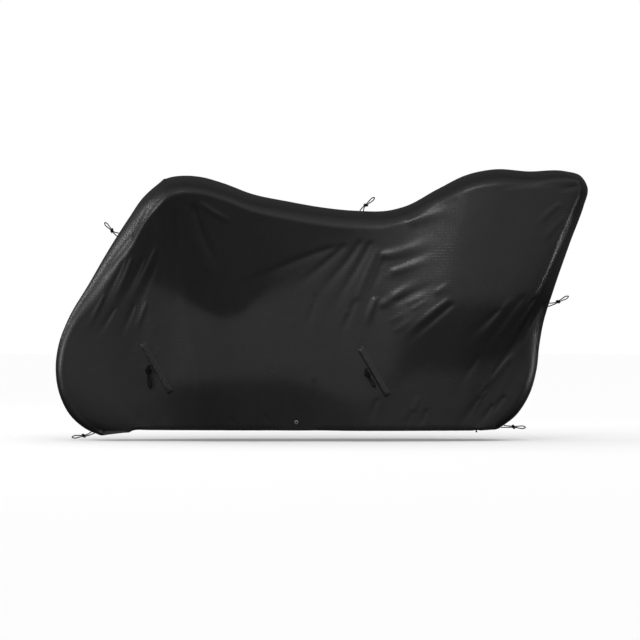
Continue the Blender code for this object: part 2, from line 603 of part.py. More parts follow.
def loop_route(roots, knot, tip, normal, lead):
    """Points of a cord that leaves the cloth, runs through the knot, round and back."""
    ahead = (tip - knot).normalized()
    across = normal.cross(ahead).normalized()
    if (roots[0] - roots[1]).dot(across) < 0:
        across = -across
    reach = (tip - knot).length
    strands = []
    for way, root in zip((1, -1), roots):
        inside = across * (way * STRAND_PITCH / 2)
        strands.append([
            root,
            knot - ahead * lead + inside,
            knot + inside,
            knot + ahead * lead + inside,
            *(
                knot + ahead * (reach * share) + across * (way * LOOP_WIDTH * spread)
                for share, spread in LOOP_SPREADS
            ),
        ])
    return [*strands[0], tip, *reversed(strands[1])], ahead, across


def make_cord(name, route, finish):
    line = np.array([tuple(p) for p in route])
    along = np.concatenate([[0], np.cumsum(np.linalg.norm(np.diff(line, axis=0), axis=1))])
    at = np.linspace(0, along[-1], round(along[-1] / CORD_STEP) + 1)
    fine = np.stack([smooth(along, line[:, k], at) for k in range(3)], axis=1)
    curve = bpy.data.curves.new(name, "CURVE")
    curve.dimensions = "3D"
    curve.bevel_depth = CORD_R
    curve.bevel_resolution = 2
    curve.use_fill_caps = True
    spline = curve.splines.new("POLY")
    spline.points.add(len(fine) - 1)
    for point, place in zip(spline.points, fine):
        point.co = (*place, 1.0)
    new_object(name, curve, finish)


def make_knot(name, row, centre, ahead, across, finish):
    """The turns round two strands that lie side by side."""
    curve = bpy.data.curves.new(name, "CURVE")
    curve.dimensions = "3D"
    curve.bevel_depth = row["radius"]
    curve.bevel_resolution = 1
    curve.use_fill_caps = True
    spline = curve.splines.new("POLY")
    steps = row["turns"] * KNOT_TURN_STEPS
    spline.points.add(steps)
    for k, point in enumerate(spline.points):
        turns = row["turns"] * (k / steps - 0.5)
        angle = 2 * math.pi * turns + math.pi / 2
        beside = min(max(2 * math.cos(angle), -1.0), 1.0) * STRAND_PITCH / 2
        point.co = (
            beside + row["away"] * math.cos(angle),
            row["away"] * math.sin(angle),
            row["pitch"] * turns + row["slant"] * math.cos(angle),
            1.0,
        )
    knot = new_object(name, curve, finish)
    knot.matrix_world = placed(centre, ahead, across)


def make_loop(name, kind, roots, knot, tip, normal, finish):
    row = dict(zip(KNOT_COLUMNS, KNOTS[kind]))
    route, ahead, across = loop_route(roots, knot, tip, normal, row["lead"])
    make_cord(name, route, finish)
    make_knot(name + "_knot", row, knot, ahead, across, finish)


def build():
    cloth = material("coated_ripstop", (0.020, 0.020, 0.021), 0.42)
    cord = material("elastic_cord", (0.006, 0.006, 0.006), 0.80)
    metal = material("eyelet_metal", (0.62, 0.60, 0.55), 0.32, 1.0)

    for prefix, side in (("near", -1), ("far", 1)):
        panel, centre = make_panel(prefix + "_panel", side, cloth)
        make_eyelet(prefix, centre, side, cloth, metal)
        tree = BVHTree.FromObject(panel, graph())
        for place, ends in FLAPS.items():
            name = f"{prefix}_flap_{place}"
            make_flap(name, ends, side, tree, cloth)
            (leaves, knot, tip), normal = flap_loop_places(place, side, tree)
            roots = flap_roots(leaves, knot, normal)
            make_loop(name + "_loop", "flap", roots, knot, tip, normal, cord)

    for name, (leaves, knot, tip) in LOOPS.items():
        knot, tip = (Vector((x, 0, z)) for x, z in (knot, tip))
        make_loop(name, "seam", seam_roots(*leaves), knot, tip, Vector((0, 1, 0)), cord)


for old in list(bpy.data.objects):
    bpy.data.objects.remove(old, do_unlink=True)
PART = bpy.data.collections.new("bicycle_cover")
CUTTERS = bpy.data.collections.new("cutters")
for collection in (PART, CUTTERS):
    bpy.context.scene.collection.children.link(collection)
build()
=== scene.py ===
"""Looks of the fitted bicycle cover: cloth, stitching, cord loops, knots, eyelets."""

import json
import math

import bpy
import numpy as np
from mathutils import Matrix, Vector, noise
from mathutils.bvhtree import BVHTree

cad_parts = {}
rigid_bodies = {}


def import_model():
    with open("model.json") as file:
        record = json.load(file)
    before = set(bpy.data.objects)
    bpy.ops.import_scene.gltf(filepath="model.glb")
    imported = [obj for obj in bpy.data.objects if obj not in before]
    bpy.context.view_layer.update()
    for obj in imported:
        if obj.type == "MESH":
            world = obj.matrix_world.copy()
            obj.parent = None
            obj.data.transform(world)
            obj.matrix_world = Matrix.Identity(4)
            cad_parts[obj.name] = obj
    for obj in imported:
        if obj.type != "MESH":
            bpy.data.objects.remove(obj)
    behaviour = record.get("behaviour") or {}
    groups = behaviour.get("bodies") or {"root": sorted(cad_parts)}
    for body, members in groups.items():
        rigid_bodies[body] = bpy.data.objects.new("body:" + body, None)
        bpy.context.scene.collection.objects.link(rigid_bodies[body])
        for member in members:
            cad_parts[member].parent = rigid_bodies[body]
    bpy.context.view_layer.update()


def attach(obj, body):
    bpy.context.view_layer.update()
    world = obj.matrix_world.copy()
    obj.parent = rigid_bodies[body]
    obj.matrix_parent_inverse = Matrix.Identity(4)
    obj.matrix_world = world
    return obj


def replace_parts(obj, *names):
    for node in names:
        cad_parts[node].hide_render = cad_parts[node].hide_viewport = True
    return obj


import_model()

# The photograph's frame, 640 pixels square, at the object's middle plane
IMAGE = 640
METRES_PER_PX = 0.00386
IMAGE_MIDDLE_Z = -0.4285
CAMERA_AWAY = 12.0
SENSOR = 36.0
CLIP_END = 100.0
GROUND_Z = -0.892

# Studio: the surroundings' brightness below and above the horizon
SKY = (  # height of the direction, from -1 straight down to 1 straight up, and strength
    (-0.34, 0.12), (0.10, 0.58), (0.42, 0.60), (0.55, 0.70), (0.70, 0.60), (0.85, 0.35),
)
BEHIND_FROM = -0.10  # how far towards the back the surroundings start to dim
BEHIND_TO = 0.45
BEHIND_SHARE = 0.12
SUN_STRENGTH = 2.4
SUN_DEGREES = 100
FLOOR_HALF = 30.0
FLOOR_SHADE = 0.65
FLOOR_ROUGH = 0.9
FLOOR_GLOW = 0.26  # so that the floor under the hem doesn't turn black

# Each lamp's name, place, the point it faces, size, power and spread in degrees
LAMPS = (
    ("left_behind", (-4.51, 2.14, 1.30), (-0.7, 0, -0.2), (0.8, 0.7), 18, 180),
    ("left", (-5.16, -1.11, 0.10), (-0.7, 0, -0.2), (0.7, 0.9), 48, 180),
    ("front_left", (-1.08, -3.45, 2.51), (0.30, -0.15, -0.22), (0.6, 0.5), 0.85, 20),
    ("right_high", (2.37, -0.36, -0.81), (0.94, -0.12, -0.14), (0.3, 0.3), 0.11, 18),
    ("right_low", (2.21, 0.45, -0.83), (0.83, -0.08, -0.65), (0.3, 0.3), 0.028, 12),
)
FAR_LAMPS = (  # these fall on the far side's pieces alone
    ("far_wall", (0, 9, 0.85), (0, 0, 0.85), (24, 8.3), 400, 180),
    ("far_key", (1.6, 3.45, 2.5), (0.3, 0.15, -0.2), (0.6, 0.5), 60, 180),
)

# Cloth
CLOTH = 0.0015
SEAM_GAP = 0.0005

# The panels' sections, as the solids have them: from hem point to seam point in
# the side view, with the crown's depth and the widths from the centre plane.
# Lengths are in millimetres, and the two places up the side in thousandths.
MILLI = 1000
COLUMNS = (
    "seam_x", "seam_z", "hem_x", "hem_z", "crown", "rim", "shoulder",
    "fold_at", "fold", "fold_round", "knee_at", "knee", "hem",
)
SECTIONS = (
    (-845, -872, -733, -858, 38, 0, 75, 600, 78, 80, 300, 82, 86),
    (-903, -847, -722, -853, 60, 0, 62, 600, 72, 80, 280, 80, 87),
    (-961, -797, -708, -850, 52, 0, 56, 600, 72, 80, 260, 82, 90),
    (-1002, -718, -690, -849, 48, 0, 53, 580, 74, 80, 240, 86, 94),
    (-1018, -618, -670, -849, 45, 0, 52, 560, 76, 80, 220, 90, 98),
    (-1006, -521, -650, -849, 45, 0, 52, 540, 78, 80, 200, 94, 102),
    (-971, -428, -628, -849, 48, 0, 56, 520, 82, 80, 200, 100, 106),
    (-890, -290, -590, -849, 82, 0, 82, 500, 97, 80, 200, 112, 115),
    (-811, -154, -555, -849, 102, 0, 118, 640, 110, 70, 200, 128, 122),
    (-735, -35, -520, -849, 108, 0, 170, 700, 134, 60, 200, 152, 130),
    (-679, 44, -485, -849, 100, 0, 230, 620, 147, 50, 190, 172, 140),
    (-629, 89, -450, -849, 96, 0, 276, 560, 162, 40, 180, 188, 150),
    (-587, 116, -415, -849, 86, 0, 298, 516, 177, 30, 180, 200, 156),
    (-533, 125, -375, -849, 78, 0, 304, 478, 183, 20, 190, 200, 158),
    (-463, 122, -325, -849, 75, 0, 298, 447, 184, 18, 195, 196, 158),
    (-378, 99, -265, -849, 74, 0, 276, 463, 178, 18, 205, 194, 157),
    (-262, 56, -185, -849, 74, 0, 242, 560, 172, 20, 215, 190, 155),
    (-124, 27, -90, -849, 74, 0, 208, 656, 166, 60, 215, 186, 153),
    (15, 3, 10, -849, 73, 0, 182, 783, 162, 100, 176, 183, 160),
    (139, -9, 100, -850, 73, 0, 166, 850, 160, 60, 140, 182, 168),
    (270, -7, 195, -850, 74, 0, 160, 700, 166, 30, 150, 180, 172),
    (328, 8, 250, -850, 75, 0, 155, 520, 186, 40, 200, 176, 170),
    (455, 75, 340, -850, 75, 0, 164, 470, 205, 30, 250, 168, 165),
    (571, 131, 405, -850, 75, 0, 194, 484, 212, 35, 235, 162, 158),
    (676, 151, 452, -850, 74, 0, 205, 478, 214, 45, 232, 158, 154),
    (803, 143, 487, -850, 70, 0, 207, 482, 215, 50, 250, 150, 150),
    (946, 144, 512, -850, 50, 20, 206, 482, 213, 50, 276, 141, 145),
    (1004, 127, 524, -850, 35, 50, 202, 498, 208, 50, 290, 134, 142),
    (1031, 81, 534, -850, 20, 62, 192, 530, 199, 50, 320, 127, 140),
    (1015, 12, 543, -850, 15, 60, 176, 578, 186, 50, 350, 120, 138),
    (965, -124, 553, -850, 12, 60, 142, 700, 154, 50, 440, 114, 136),
    (899, -313, 563, -850, 12, 66, 104, 780, 114, 70, 520, 112, 134),
    (861, -436, 569, -850, 14, 58, 94, 740, 103, 80, 500, 113, 133),
    (845, -525, 574, -850, 18, 48, 90, 660, 103, 80, 420, 116, 132),
    (834, -621, 579, -850, 20, 42, 88, 600, 106, 80, 340, 119, 131),
    (807, -714, 585, -850, 22, 42, 90, 600, 107, 80, 300, 121, 130),
    (753, -797, 592, -850, 30, 30, 100, 600, 108, 80, 300, 122, 128),
    (690, -846, 600, -850, 30, 24, 112, 600, 115, 80, 300, 122, 125),
)
KNEE_ROUND = 0.035  # metres over which the knee's corner is rounded; fold_round likewise

# The main creases: a line's three points in the side view, half its width left
# and right of its run, and its depth, ridges positive. Ten of them, in front of the
# rear hump and low at the rear, are moved or softened against the solids' own.
# Places and widths are in millimetres, depths in tenths of one.
CREASE_COLUMNS = ("x1", "z1", "x2", "z2", "x3", "z3", "left", "right", "depth")
CREASE_UNITS = np.array([MILLI] * 8 + [10 * MILLI])
CREASES = (
    # down the front slope
    (-714, -181, -749, -274, -826, -421, 12, 9, 26),
    (-618, -147, -668, -251, -749, -405, 13, 8, 26),
    (-741, -189, -787, -282, -861, -428, 9, 12, -22),
    (-668, -181, -714, -282, -795, -428, 9, 13, -22),
    (-618, -205, -660, -301, -726, -436, 10, 14, -18),
    # hanging from the front hump
    (-471, 23, -432, -120, -378, -239, 7, 22, -70),
    (-502, 12, -479, -120, -452, -212, 8, 10, 25),
    (-428, -228, -421, -305, -413, -378, 8, 10, -25),
    (81, -143, -116, -212, -328, -317, 18, 12, -30),
    # fan below the lowest stretch of the top
    (104, -131, 8, -220, -131, -328, 16, 11, -34),
    (162, -112, 81, -228, -50, -374, 16, 10, -38),
    (197, -120, 135, -235, 0, -459, 16, 10, -42),
    (143, -336, 97, -428, 31, -537, 16, 10, -34),
    (228, -143, 170, -274, 89, -467, 12, 9, 30),
    (255, -166, 216, -266, 178, -351, 12, 9, -25),
    (216, -340, 197, -394, 178, -467, 7, 12, 80),
    # across the face in front of the rear hump
    (320, -62, 420, -27, 544, 8, 12, 26, 42),
    (222, -182, 320, -165, 471, -108, 17, 24, 52),
    (258, -250, 350, -221, 470, -176, 16, 24, 50),
    (239, -262, 355, -239, 463, -205, 10, 20, 20),
    (220, -382, 297, -328, 380, -284, 13, 22, 48),
    (270, -371, 367, -320, 498, -270, 14, 18, -30),
    (432, -328, 467, -305, 506, -282, 9, 18, 30),
    (502, -340, 401, -417, 301, -510, 14, 9, 35),
    (517, -359, 425, -436, 317, -529, 9, 16, -45),
    # drawn from the rear edge down into the hollow below the rear hump
    (784, -324, 691, -448, 587, -594, 9, 15, -50),
    (826, -332, 753, -436, 664, -564, 9, 15, -50),
    (861, -351, 811, -452, 745, -560, 9, 13, -50),
    (691, -382, 621, -444, 540, -513, 10, 14, -35),
    (730, -336, 645, -452, 556, -552, 14, 10, 30),
    # low on the rear end and above the hem
    (741, -552, 664, -645, 587, -737, 16, 9, 35),
    (618, -714, 571, -780, 537, -838, 10, 14, -30),
    (668, -745, 633, -795, 602, -841, 10, 13, -26),
    (714, -714, 675, -760, 641, -803, 10, 14, -24),
    (355, -768, 340, -807, 317, -845, 9, 13, -22),
    (405, -764, 394, -807, 374, -845, 9, 13, -22),
    (-23, -645, -23, -730, -19, -830, 12, 8, -25),
    # soft waves of the rear top
    (687, 73, 811, 85, 926, 85, 10, 7, -30),
    (1023, 89, 950, 73, 888, 66, 7, 10, -30),
    (919, 19, 861, -27, 803, -89, 12, 9, 25),
)
FINE_CREASES = (
    (-640, 23, -670, -42, -712, -112, 8, 8, -32),
    (-706, -104, -758, -170, -842, -268, 8, 8, -34),
    (965, -27, 934, -112, 880, -228, 6, 8, 30),
    (-588, 110, -603, 88, -630, 48, 7, 10, 45),
    (988, 54, 979, 26, 966, -10, 8, 7, 35),
    (934, -69, 896, -124, 849, -205, 6, 8, 20),
    (-818, -320, -853, -390, -903, -483, 8, 10, 25),
    (-656, -351, -683, -421, -710, -486, 9, 11, 20),
    (-780, -374, -818, -436, -865, -506, 9, 11, -20),
    (-703, -359, -733, -428, -764, -506, 9, 11, -20),
    (-540, -4, -537, -120, -525, -243, 12, 14, -25),
    (-452, 15, -390, -27, -309, -66, 7, 10, 30),
    (112, -382, 81, -452, 46, -544, 10, 12, 25),
    (-8, -320, -35, -405, -69, -483, 12, 10, -20),
    (344, 0, 432, 27, 540, 58, 6, 14, 18),
    (247, -212, 340, -202, 430, -170, 6, 14, 10),
    (324, -367, 371, -344, 409, -324, 8, 12, 12),
    (340, -394, 386, -367, 428, -347, 8, 12, 15),
    (259, -436, 301, -413, 347, -390, 8, 12, 13),
    (278, -475, 317, -448, 363, -421, 8, 12, 14),
    (618, -552, 571, -621, 525, -699, 11, 14, -25),
    (641, -691, 602, -745, 571, -799, 9, 13, 20),
    (220, -722, 201, -776, 181, -838, 8, 10, -25),
    (942, -27, 880, -89, 826, -151, 9, 12, 20),
    (378, -714, 355, -776, 324, -830, 9, 13, 16),
    (-340, -799, -328, -818, -313, -838, 5, 7, -20),
    (-212, -784, -201, -807, -185, -830, 5, 7, -20),
)
CREASE_STEPS = 8  # straight pieces that stand for one crease's curve
CREASE_REACH = 3.0  # widths from its line where a crease has died out
CREASE_RISE = 0.15  # share of its length over which a crease gets its full depth
CREASE_FADE = 0.60  # and over which it dies out at its far end
CREASE_GROWTH = (0.7, 1.3)  # its width at its two ends, as shares of the table's
FAR_SEED = 7  # the far panel's creases are the near one's, each moved a little
FAR_SHIFT = 0.030
FAR_SHARE = (0.6, 1.1)  # of the near crease's depth
EDGE_CALM = 0.05
RIM_LEAST = 0.002
EDGE_STEPS = 400

ALONG = 470  # columns of a panel's grid
UP = 168  # even rows between the hem's rows and the seam's
SIDE_STEPS = 110  # points that a section is worked out from
CROWN_STEPS = 30
HEM_ROWS = (0.0, 0.0012, 0.003, 0.006, 0.0085, 0.0100, 0.0115, 0.014)
SEAM_ROWS = (
    0.0140, 0.0110, 0.0098, 0.0088, 0.0080, 0.0071, 0.0062, 0.0053, 0.0042,
    0.0030, 0.0020, 0.0012, 0.0006, 0.0,
)

# The turned hem, its stitching and the felled seam
HEM_ROLL = 0.0011  # half the hem's folded thickness
HEM_ROLL_STEPS = 4
HEM_INSIDE = (0.003, 0.006, 0.009, 0.012)  # rows of the turned cloth, up from the edge
HEM_SMOOTHING = 6  # how often the way out is evened out round the opening's corners
HEM_STITCH = 0.0100  # from the edge to the stitches
HEM_TUCK = 0.0035  # the edge turns in this far, from its reach down
HEM_TUCK_REACH = 0.022
SEAM_STITCH = 0.0062
SEAM_ALLOWANCE = {  # rows of the cloth that the seam turns inside: depth, and way across
    -1: ((0.002, 0.0), (0.006, 0.0), (0.009, 0.0), (0.011, 0.0025)),
    1: ((0.002, 0.0), (0.004, 0.0), (0.006, 0.0)),
}
SEAM_BAND = 0.0092  # the doubled cloth beside the seam reaches this far
SEAM_BAND_EDGE = 0.0016
SEAM_BAND_RISE = 0.0007
SEAM_GROOVE = 0.0009
SEAM_GROOVE_WIDTH = 0.0016
STITCH_SINK = 0.0003
STITCH_SINK_WIDTH = 0.0012
STITCH_PITCH = 0.0036
STITCH_LONG = 0.0029
STITCH_R = 0.00028
STITCH_HEIGHTS = (-0.0001, 0.0002, 0.0002, -0.0001)  # of a stitch's four rings
STITCH_SIDES = 5

# Uneven waves: waves per metre along and up, height, and whether only low down
CRINKLES = (
    (9.0, 5.0, 0.0012, False),
    (26.0, 17.0, 0.0004, False),
    (30.0, 6.0, 0.0012, True),
)
CRINKLE_SEED = 3.7
CRINKLE_LOW_POWER = 3  # how fast the low waves die out going up

# Eyelet, and the patch behind the cloth
EYELET_AT = (-0.090, -0.818)
EYELET_INNER_Y = 0.1584  # of the cloth's inner face there
EYELET_SLOPE = 0.17  # the cloth's lean there, inwards going down
EYELET_CUT_R = 0.0050
EYELET_STEPS = 56
EYELET_PROFILE = (  # radius, and height over the cloth's outer face
    (0.0033, 0.0003), (0.0034, 0.0009), (0.0039, 0.0013), (0.0047, 0.0014),
    (0.0057, 0.0012), (0.0067, 0.0008), (0.0073, 0.0004), (0.0075, 0.0001),
    (0.0072, 0.0000), (0.0042, 0.0000), (0.0042, -0.0014), (0.0070, -0.0014),
    (0.0073, -0.0017), (0.0070, -0.0021), (0.0045, -0.0023), (0.0035, -0.0021),
    (0.0033, -0.0016),
)
PATCH_SIZE = (0.038, 0.032)
PATCH_CORNER = 0.008
PATCH_BEHIND = 0.0007
PATCH_STITCH = 0.0030  # from the patch's edge
PATCH_RINGS = 5
PATCH_STEPS = 64
LEAST_CORNER = 0.001
HALVINGS = 40  # how often the search for the patch's edge halves its range
OUTSIDE = 2.0  # a ray from here meets the cloth from outside
FLAT_R = 0.034
BLEND_R = 0.100

# Flaps and cord loops, as the solids have them
FLAPS = {
    "front": ((-0.676, -0.517), (-0.568, -0.706)),
    "rear": ((0.154, -0.535), (0.259, -0.716)),
}
FLAP_WIDTH = 0.026
FLAP_LIFT = 0.0007  # of its flat edges, from the panel
FLAP_RISE = 0.0058  # of its middle
FLAP_CREST = 0.24  # of the raised part's highest line, as a share of the width
FLAP_END = 0.05  # share of its length over which the tunnel closes
FLAP_ARCH_POWER = 0.8  # the raised part's roundness
FLAP_CLOSING_POWER = 0.5
FLAP_WAVE = 0.0006
FLAP_WAVES = (22.5, 2.0)  # of the uneven waves, over its length and over its width
FLAP_WAVE_SEED = 5.0
FLAP_ROWS = 110
FLAP_COLUMNS = 21
FLAP_STITCH = 0.0024  # from its edges
CORD_R = 0.0021
CORD_STEP = 0.0012
CORD_SIDES = 14
CAP_RINGS = (0.98, 0.8, 0.45)  # how far out a rounded end's rings lie, in radii
ACROSS_LEAST = 0.9  # a line that starts steeper than this across is framed from X
STRAND_PITCH = 0.0046
LOOP_WIDTH = 0.011
LOOPS = {
    "loop_nose": ((-0.779, -0.095), (-0.803, -0.083), (-0.831, -0.053)),
    "loop_top": ((0.163, -0.009), (0.177, 0.015), (0.210, 0.044)),
    "loop_tail": ((0.885, -0.367), (0.919, -0.358), (0.959, -0.337)),
    "loop_hem_front": ((-0.876, -0.861), (-0.912, -0.875), (-0.957, -0.881)),
    "loop_hem_rear": ((0.708, -0.836), (0.747, -0.841), (0.793, -0.843)),
}
SEAM_SPREAD = 0.013
SEAM_STAND_OFF = 0.0026
FLAP_LOOPS = {
    "front": ((-0.6510, -0.6020), (-0.6550, -0.6230), (-0.6480, -0.6910)),
    "rear": ((0.1765, -0.6130), (0.1800, -0.6350), (0.2090, -0.6840)),
}
FLAP_STAND_OFF = (0.0040, 0.0100, 0.0055)
FLAP_SPREAD = 0.0050
LOOP_SPREADS = ((0.50, 0.36), (0.82, 0.42))
KNOT_COLUMNS = ("radius", "away", "turns", "pitch", "slant", "lead")
KNOTS = {
    "seam": (0.0018, 0.0044, 2, 0.0044, 0.0018, 0.0095),
    "flap": (0.0025, 0.0056, 3, 0.0056, 0.0020, 0.0125),
}
KNOT_TURN_STEPS = 60

# Materials
RIPSTOP_PITCH = 0.0115
RIPSTOP_LINE = 0.09  # half a thick thread's width, as a share of the pitch
RIPSTOP_ROUGH = (0.26, 0.44)  # of the thick threads, and of the cloth between them
RIPSTOP_HEIGHT = 0.00010
WEAVE_PITCH = 0.0008
WEAVE_HEIGHT = 0.00002
CRUMPLE_HEIGHT = 0.00035
CRUMPLE_NOISE = {"Scale": 38.0, "Detail": 4.0, "Roughness": 0.55}
PATCHY_NOISE = {"Scale": 7.0, "Detail": 3.0}
GRID_SHADE = 0.25  # how much paler the thick threads are
PATCHY_DULLNESS = (0.3, 0.65)  # the patches' part in the roughness, and its base
GRID_SHINE = -0.7
CLOTH_COLOURS = ((0.0080, 0.0080, 0.0084), (0.0102, 0.0102, 0.0106))
BRAID_PITCH = 0.0036
BRAID_STRANDS = 4
BRAID_HEIGHT = 0.00030
CORD_COLOURS = ((0.0025, 0.0025, 0.0025), (0.0070, 0.0070, 0.0070))
CORD_ROUGH = (0.75, 0.9)
THREAD_PITCH = 0.001
THREAD_STRANDS = 2
THREAD_COLOURS = ((0.006, 0.006, 0.006), (0.016, 0.016, 0.016))
THREAD_ROUGH = (0.5, 0.65)
THREAD_SPECULAR = 0.2
METAL_COLOUR = (0.42, 0.41, 0.37)
METAL_COLOURS = ((0.34, 0.33, 0.30), (0.50, 0.48, 0.44))
METAL_ROUGH = (0.22, 0.42)
SCUFF_NOISE = {"Scale": 900.0, "Detail": 5.0}
SCUFF_HEIGHT = 0.00003


def smooth(knots, values, at):
    """A curve through the values with no corners, read at the places in at."""
    knots, values = np.asarray(knots, float), np.asarray(values, float)
    span = np.diff(knots)
    slope = np.diff(values) / span
    inner = (slope[:-1] * span[1:] + slope[1:] * span[:-1]) / (span[1:] + span[:-1])
    tangent = np.concatenate([slope[:1], inner, slope[-1:]])
    i = np.clip(np.searchsorted(knots, at, side="right") - 1, 0, len(span) - 1)
    t = (at - knots[i]) / span[i]
    return (
        (2 * t**3 - 3 * t**2 + 1) * values[i]
        + (t**3 - 2 * t**2 + t) * span[i] * tangent[i]
        + (3 * t**2 - 2 * t**3) * values[i + 1]
        + (t**3 - t**2) * span[i] * tangent[i + 1]
    )


def rounded(knots, values, rounds, at):
    """Straight runs between the values, with each inner corner rounded off."""
    slopes = np.diff(values) / np.diff(knots)
    total = values[0] + slopes[0] * at
    for knot, bend, turn in zip(knots[1:-1], np.diff(slopes), rounds):
        total = total + bend * (
            (at - knot + np.hypot(at - knot, turn)) - (math.hypot(knot, turn) - knot)
        ) / 2
    return total


def section_width(row, length, crown, side):
    """Widths up a section's side, from the hem to the shoulder."""
    knots = np.array([0.0, row["knee_at"], row["fold_at"], 1 - crown]) / (1 - crown)
    widths = np.array([row[name] for name in ("hem", "knee", "fold", "shoulder")])
    rounds = (KNEE_ROUND / length, row["fold_round"] / length)
    return rounded(knots, widths, rounds, side)


def distances(line):
    """How far along a line of points each of them lies."""
    return np.concatenate([[0.0], np.cumsum(np.linalg.norm(np.diff(line, axis=0), axis=1))])


def section_rows(count):
    """Every column of the sections, read at count places along the seam."""
    table = dict(zip(COLUMNS, np.array(SECTIONS).T / MILLI))
    steps = np.hypot(np.diff(table["seam_x"]), np.diff(table["seam_z"]))
    along = np.concatenate([[0.0], np.cumsum(steps)])
    at = np.linspace(0.0, along[-1], count)
    return {name: smooth(along, column, at) for name, column in table.items()}


def rounded_edge(x, z, seam, rim):
    """The share of the width left at each place, as the cloth turns round to the seam."""
    start, step = seam[:-1], np.diff(seam, axis=0)
    away = np.stack([x, z], axis=1)[:, None, :] - start
    t = np.clip((away * step).sum(axis=2) / (step**2).sum(axis=1), 0, 1)
    gap = np.linalg.norm(away - t[..., None] * step, axis=2).min(axis=1)
    return np.sqrt(1 - (1 - np.clip(gap / rim, 0, 1)) ** 2)


def half_surface():
    """The near panel's smooth inner face and its flat pattern.

    Both are arrays [along, up, ...]: the points in space, and where each lies on
    the cloth laid flat, each section being laid out from its hem point in the
    direction it has in the side view. Also how far each is from hem and seam.
    """
    rows = section_rows(ALONG)
    edge = section_rows(EDGE_STEPS)
    edge = np.stack([edge["seam_x"], edge["seam_z"]], axis=1)
    side = np.linspace(0.0, 1.0, SIDE_STEPS)
    turn = np.linspace(0.0, math.pi / 2, CROWN_STEPS)[1:]
    count = len(HEM_ROWS) + UP + len(SEAM_ROWS)
    points = np.zeros((ALONG, count, 3))
    flat = np.zeros((ALONG, count, 2))
    from_hem = np.zeros((ALONG, count))
    from_seam = np.zeros((ALONG, count))
    for i in range(ALONG):
        row = {name: column[i] for name, column in rows.items()}
        hem = np.array([row["hem_x"], row["hem_z"]])
        seam = np.array([row["seam_x"], row["seam_z"]])
        length = np.linalg.norm(seam - hem)
        crown = row["crown"] / length
        sides = section_width(row, length, crown, side)
        share = np.concatenate([side * (1 - crown), 1 - crown + crown * np.sin(turn)])
        width = np.concatenate([sides, sides[-1] * np.cos(turn)])
        x = hem[0] + (seam[0] - hem[0]) * share
        z = hem[1] + (seam[1] - hem[1]) * share
        if row["rim"] > RIM_LEAST:
            width = width * rounded_edge(x, z, edge, row["rim"])
        line = np.stack([x, -np.maximum(width, SEAM_GAP / 2), z], axis=1)
        arc = distances(line)
        low, high = HEM_ROWS[-1], arc[-1] - SEAM_ROWS[0]
        even = np.linspace(low, high, UP + 2)[1:-1]
        at = np.concatenate([HEM_ROWS, even, arc[-1] - np.array(SEAM_ROWS)])
        for k in range(3):
            points[i, :, k] = np.interp(at, arc, line[:, k])
        flat[i] = hem + (seam - hem) / length * at[:, None]
        from_hem[i] = at
        from_seam[i] = arc[-1] - at
    return points, flat, from_hem, from_seam


def crease_line(row):
    """The curve through a crease's three points, as points about evenly apart."""
    t = np.linspace(0.0, 1.0, CREASE_STEPS + 1)[:, None]
    first = np.array([row["x1"], row["z1"]])
    middle = np.array([row["x2"], row["z2"]])
    last = np.array([row["x3"], row["z3"]])
    pull = 2 * middle - (first + last) / 2
    return (1 - t) ** 2 * first + 2 * t * (1 - t) * pull + t**2 * last


def eased(share):
    """From 0 to 1 without corners, as share goes from 0 to 1."""
    share = np.clip(share, 0.0, 1.0)
    return share * share * (3 - 2 * share)


def crease_depth(rows, x, z):
    """How far the creases move the cloth outwards at each place of a side view."""
    ridge, trough = np.zeros_like(x), np.zeros_like(x)
    for row in rows:
        line = crease_line(row)
        reach = CREASE_REACH * max(row["left"], row["right"])
        low, high = line.min(axis=0) - reach, line.max(axis=0) + reach
        near = (x > low[0]) & (x < high[0]) & (z > low[1]) & (z < high[1])
        px, pz = x[near], z[near]
        nearest = np.full(px.shape, np.inf)
        along = np.zeros_like(px)
        half = np.ones_like(px)
        for k in range(CREASE_STEPS):
            (ax, az), (bx, bz) = line[k], line[k + 1]
            size = (bx - ax) ** 2 + (bz - az) ** 2
            t = np.clip(((px - ax) * (bx - ax) + (pz - az) * (bz - az)) / size, 0, 1)
            gap = np.hypot(px - ax - t * (bx - ax), pz - az - t * (bz - az))
            closer = gap < nearest
            nearest = np.where(closer, gap, nearest)
            along = np.where(closer, (k + t) / CREASE_STEPS, along)
            is_left = (bx - ax) * (pz - az) > (bz - az) * (px - ax)
            half = np.where(closer, np.where(is_left, row["left"], row["right"]), half)
        width = half * (CREASE_GROWTH[0] + (CREASE_GROWTH[1] - CREASE_GROWTH[0]) * along)
        fade = eased(along / CREASE_RISE) * eased((1 - along) / CREASE_FADE)
        push = row["depth"] * fade * np.exp(-((nearest / width) ** 2))
        ridge[near] = np.maximum(ridge[near], push)
        trough[near] = np.minimum(trough[near], push)
    return ridge + trough


def panel_creases(table, side):
    """The rows of a crease table for one panel."""
    rows = [dict(zip(CREASE_COLUMNS, np.array(values) / CREASE_UNITS)) for values in table]
    if side > 0:
        random = np.random.default_rng(FAR_SEED)
        for row in rows:
            for axis in "xz":
                shift = random.uniform(-FAR_SHIFT, FAR_SHIFT)
                for point in "123":
                    row[axis + point] += shift
            row["depth"] *= random.uniform(*FAR_SHARE)
    return rows


def crinkle(x, z, share, seed):
    """Small uneven waves of the cloth; share is how far up each place lies."""
    depth = np.zeros_like(x)
    for along, up, height, low_only in CRINKLES:
        waves = [
            noise.noise(Vector((px * along, pz * up, seed)))
            for px, pz in zip(x.ravel(), z.ravel())
        ]
        weight = (1 - share) ** CRINKLE_LOW_POWER if low_only else 1.0
        depth += height * weight * np.array(waves).reshape(x.shape)
    return depth


def bump_at(distance, place, width):
    """A soft bump of height 1 at one distance."""
    return np.exp(-(((distance - place) / width) ** 2))


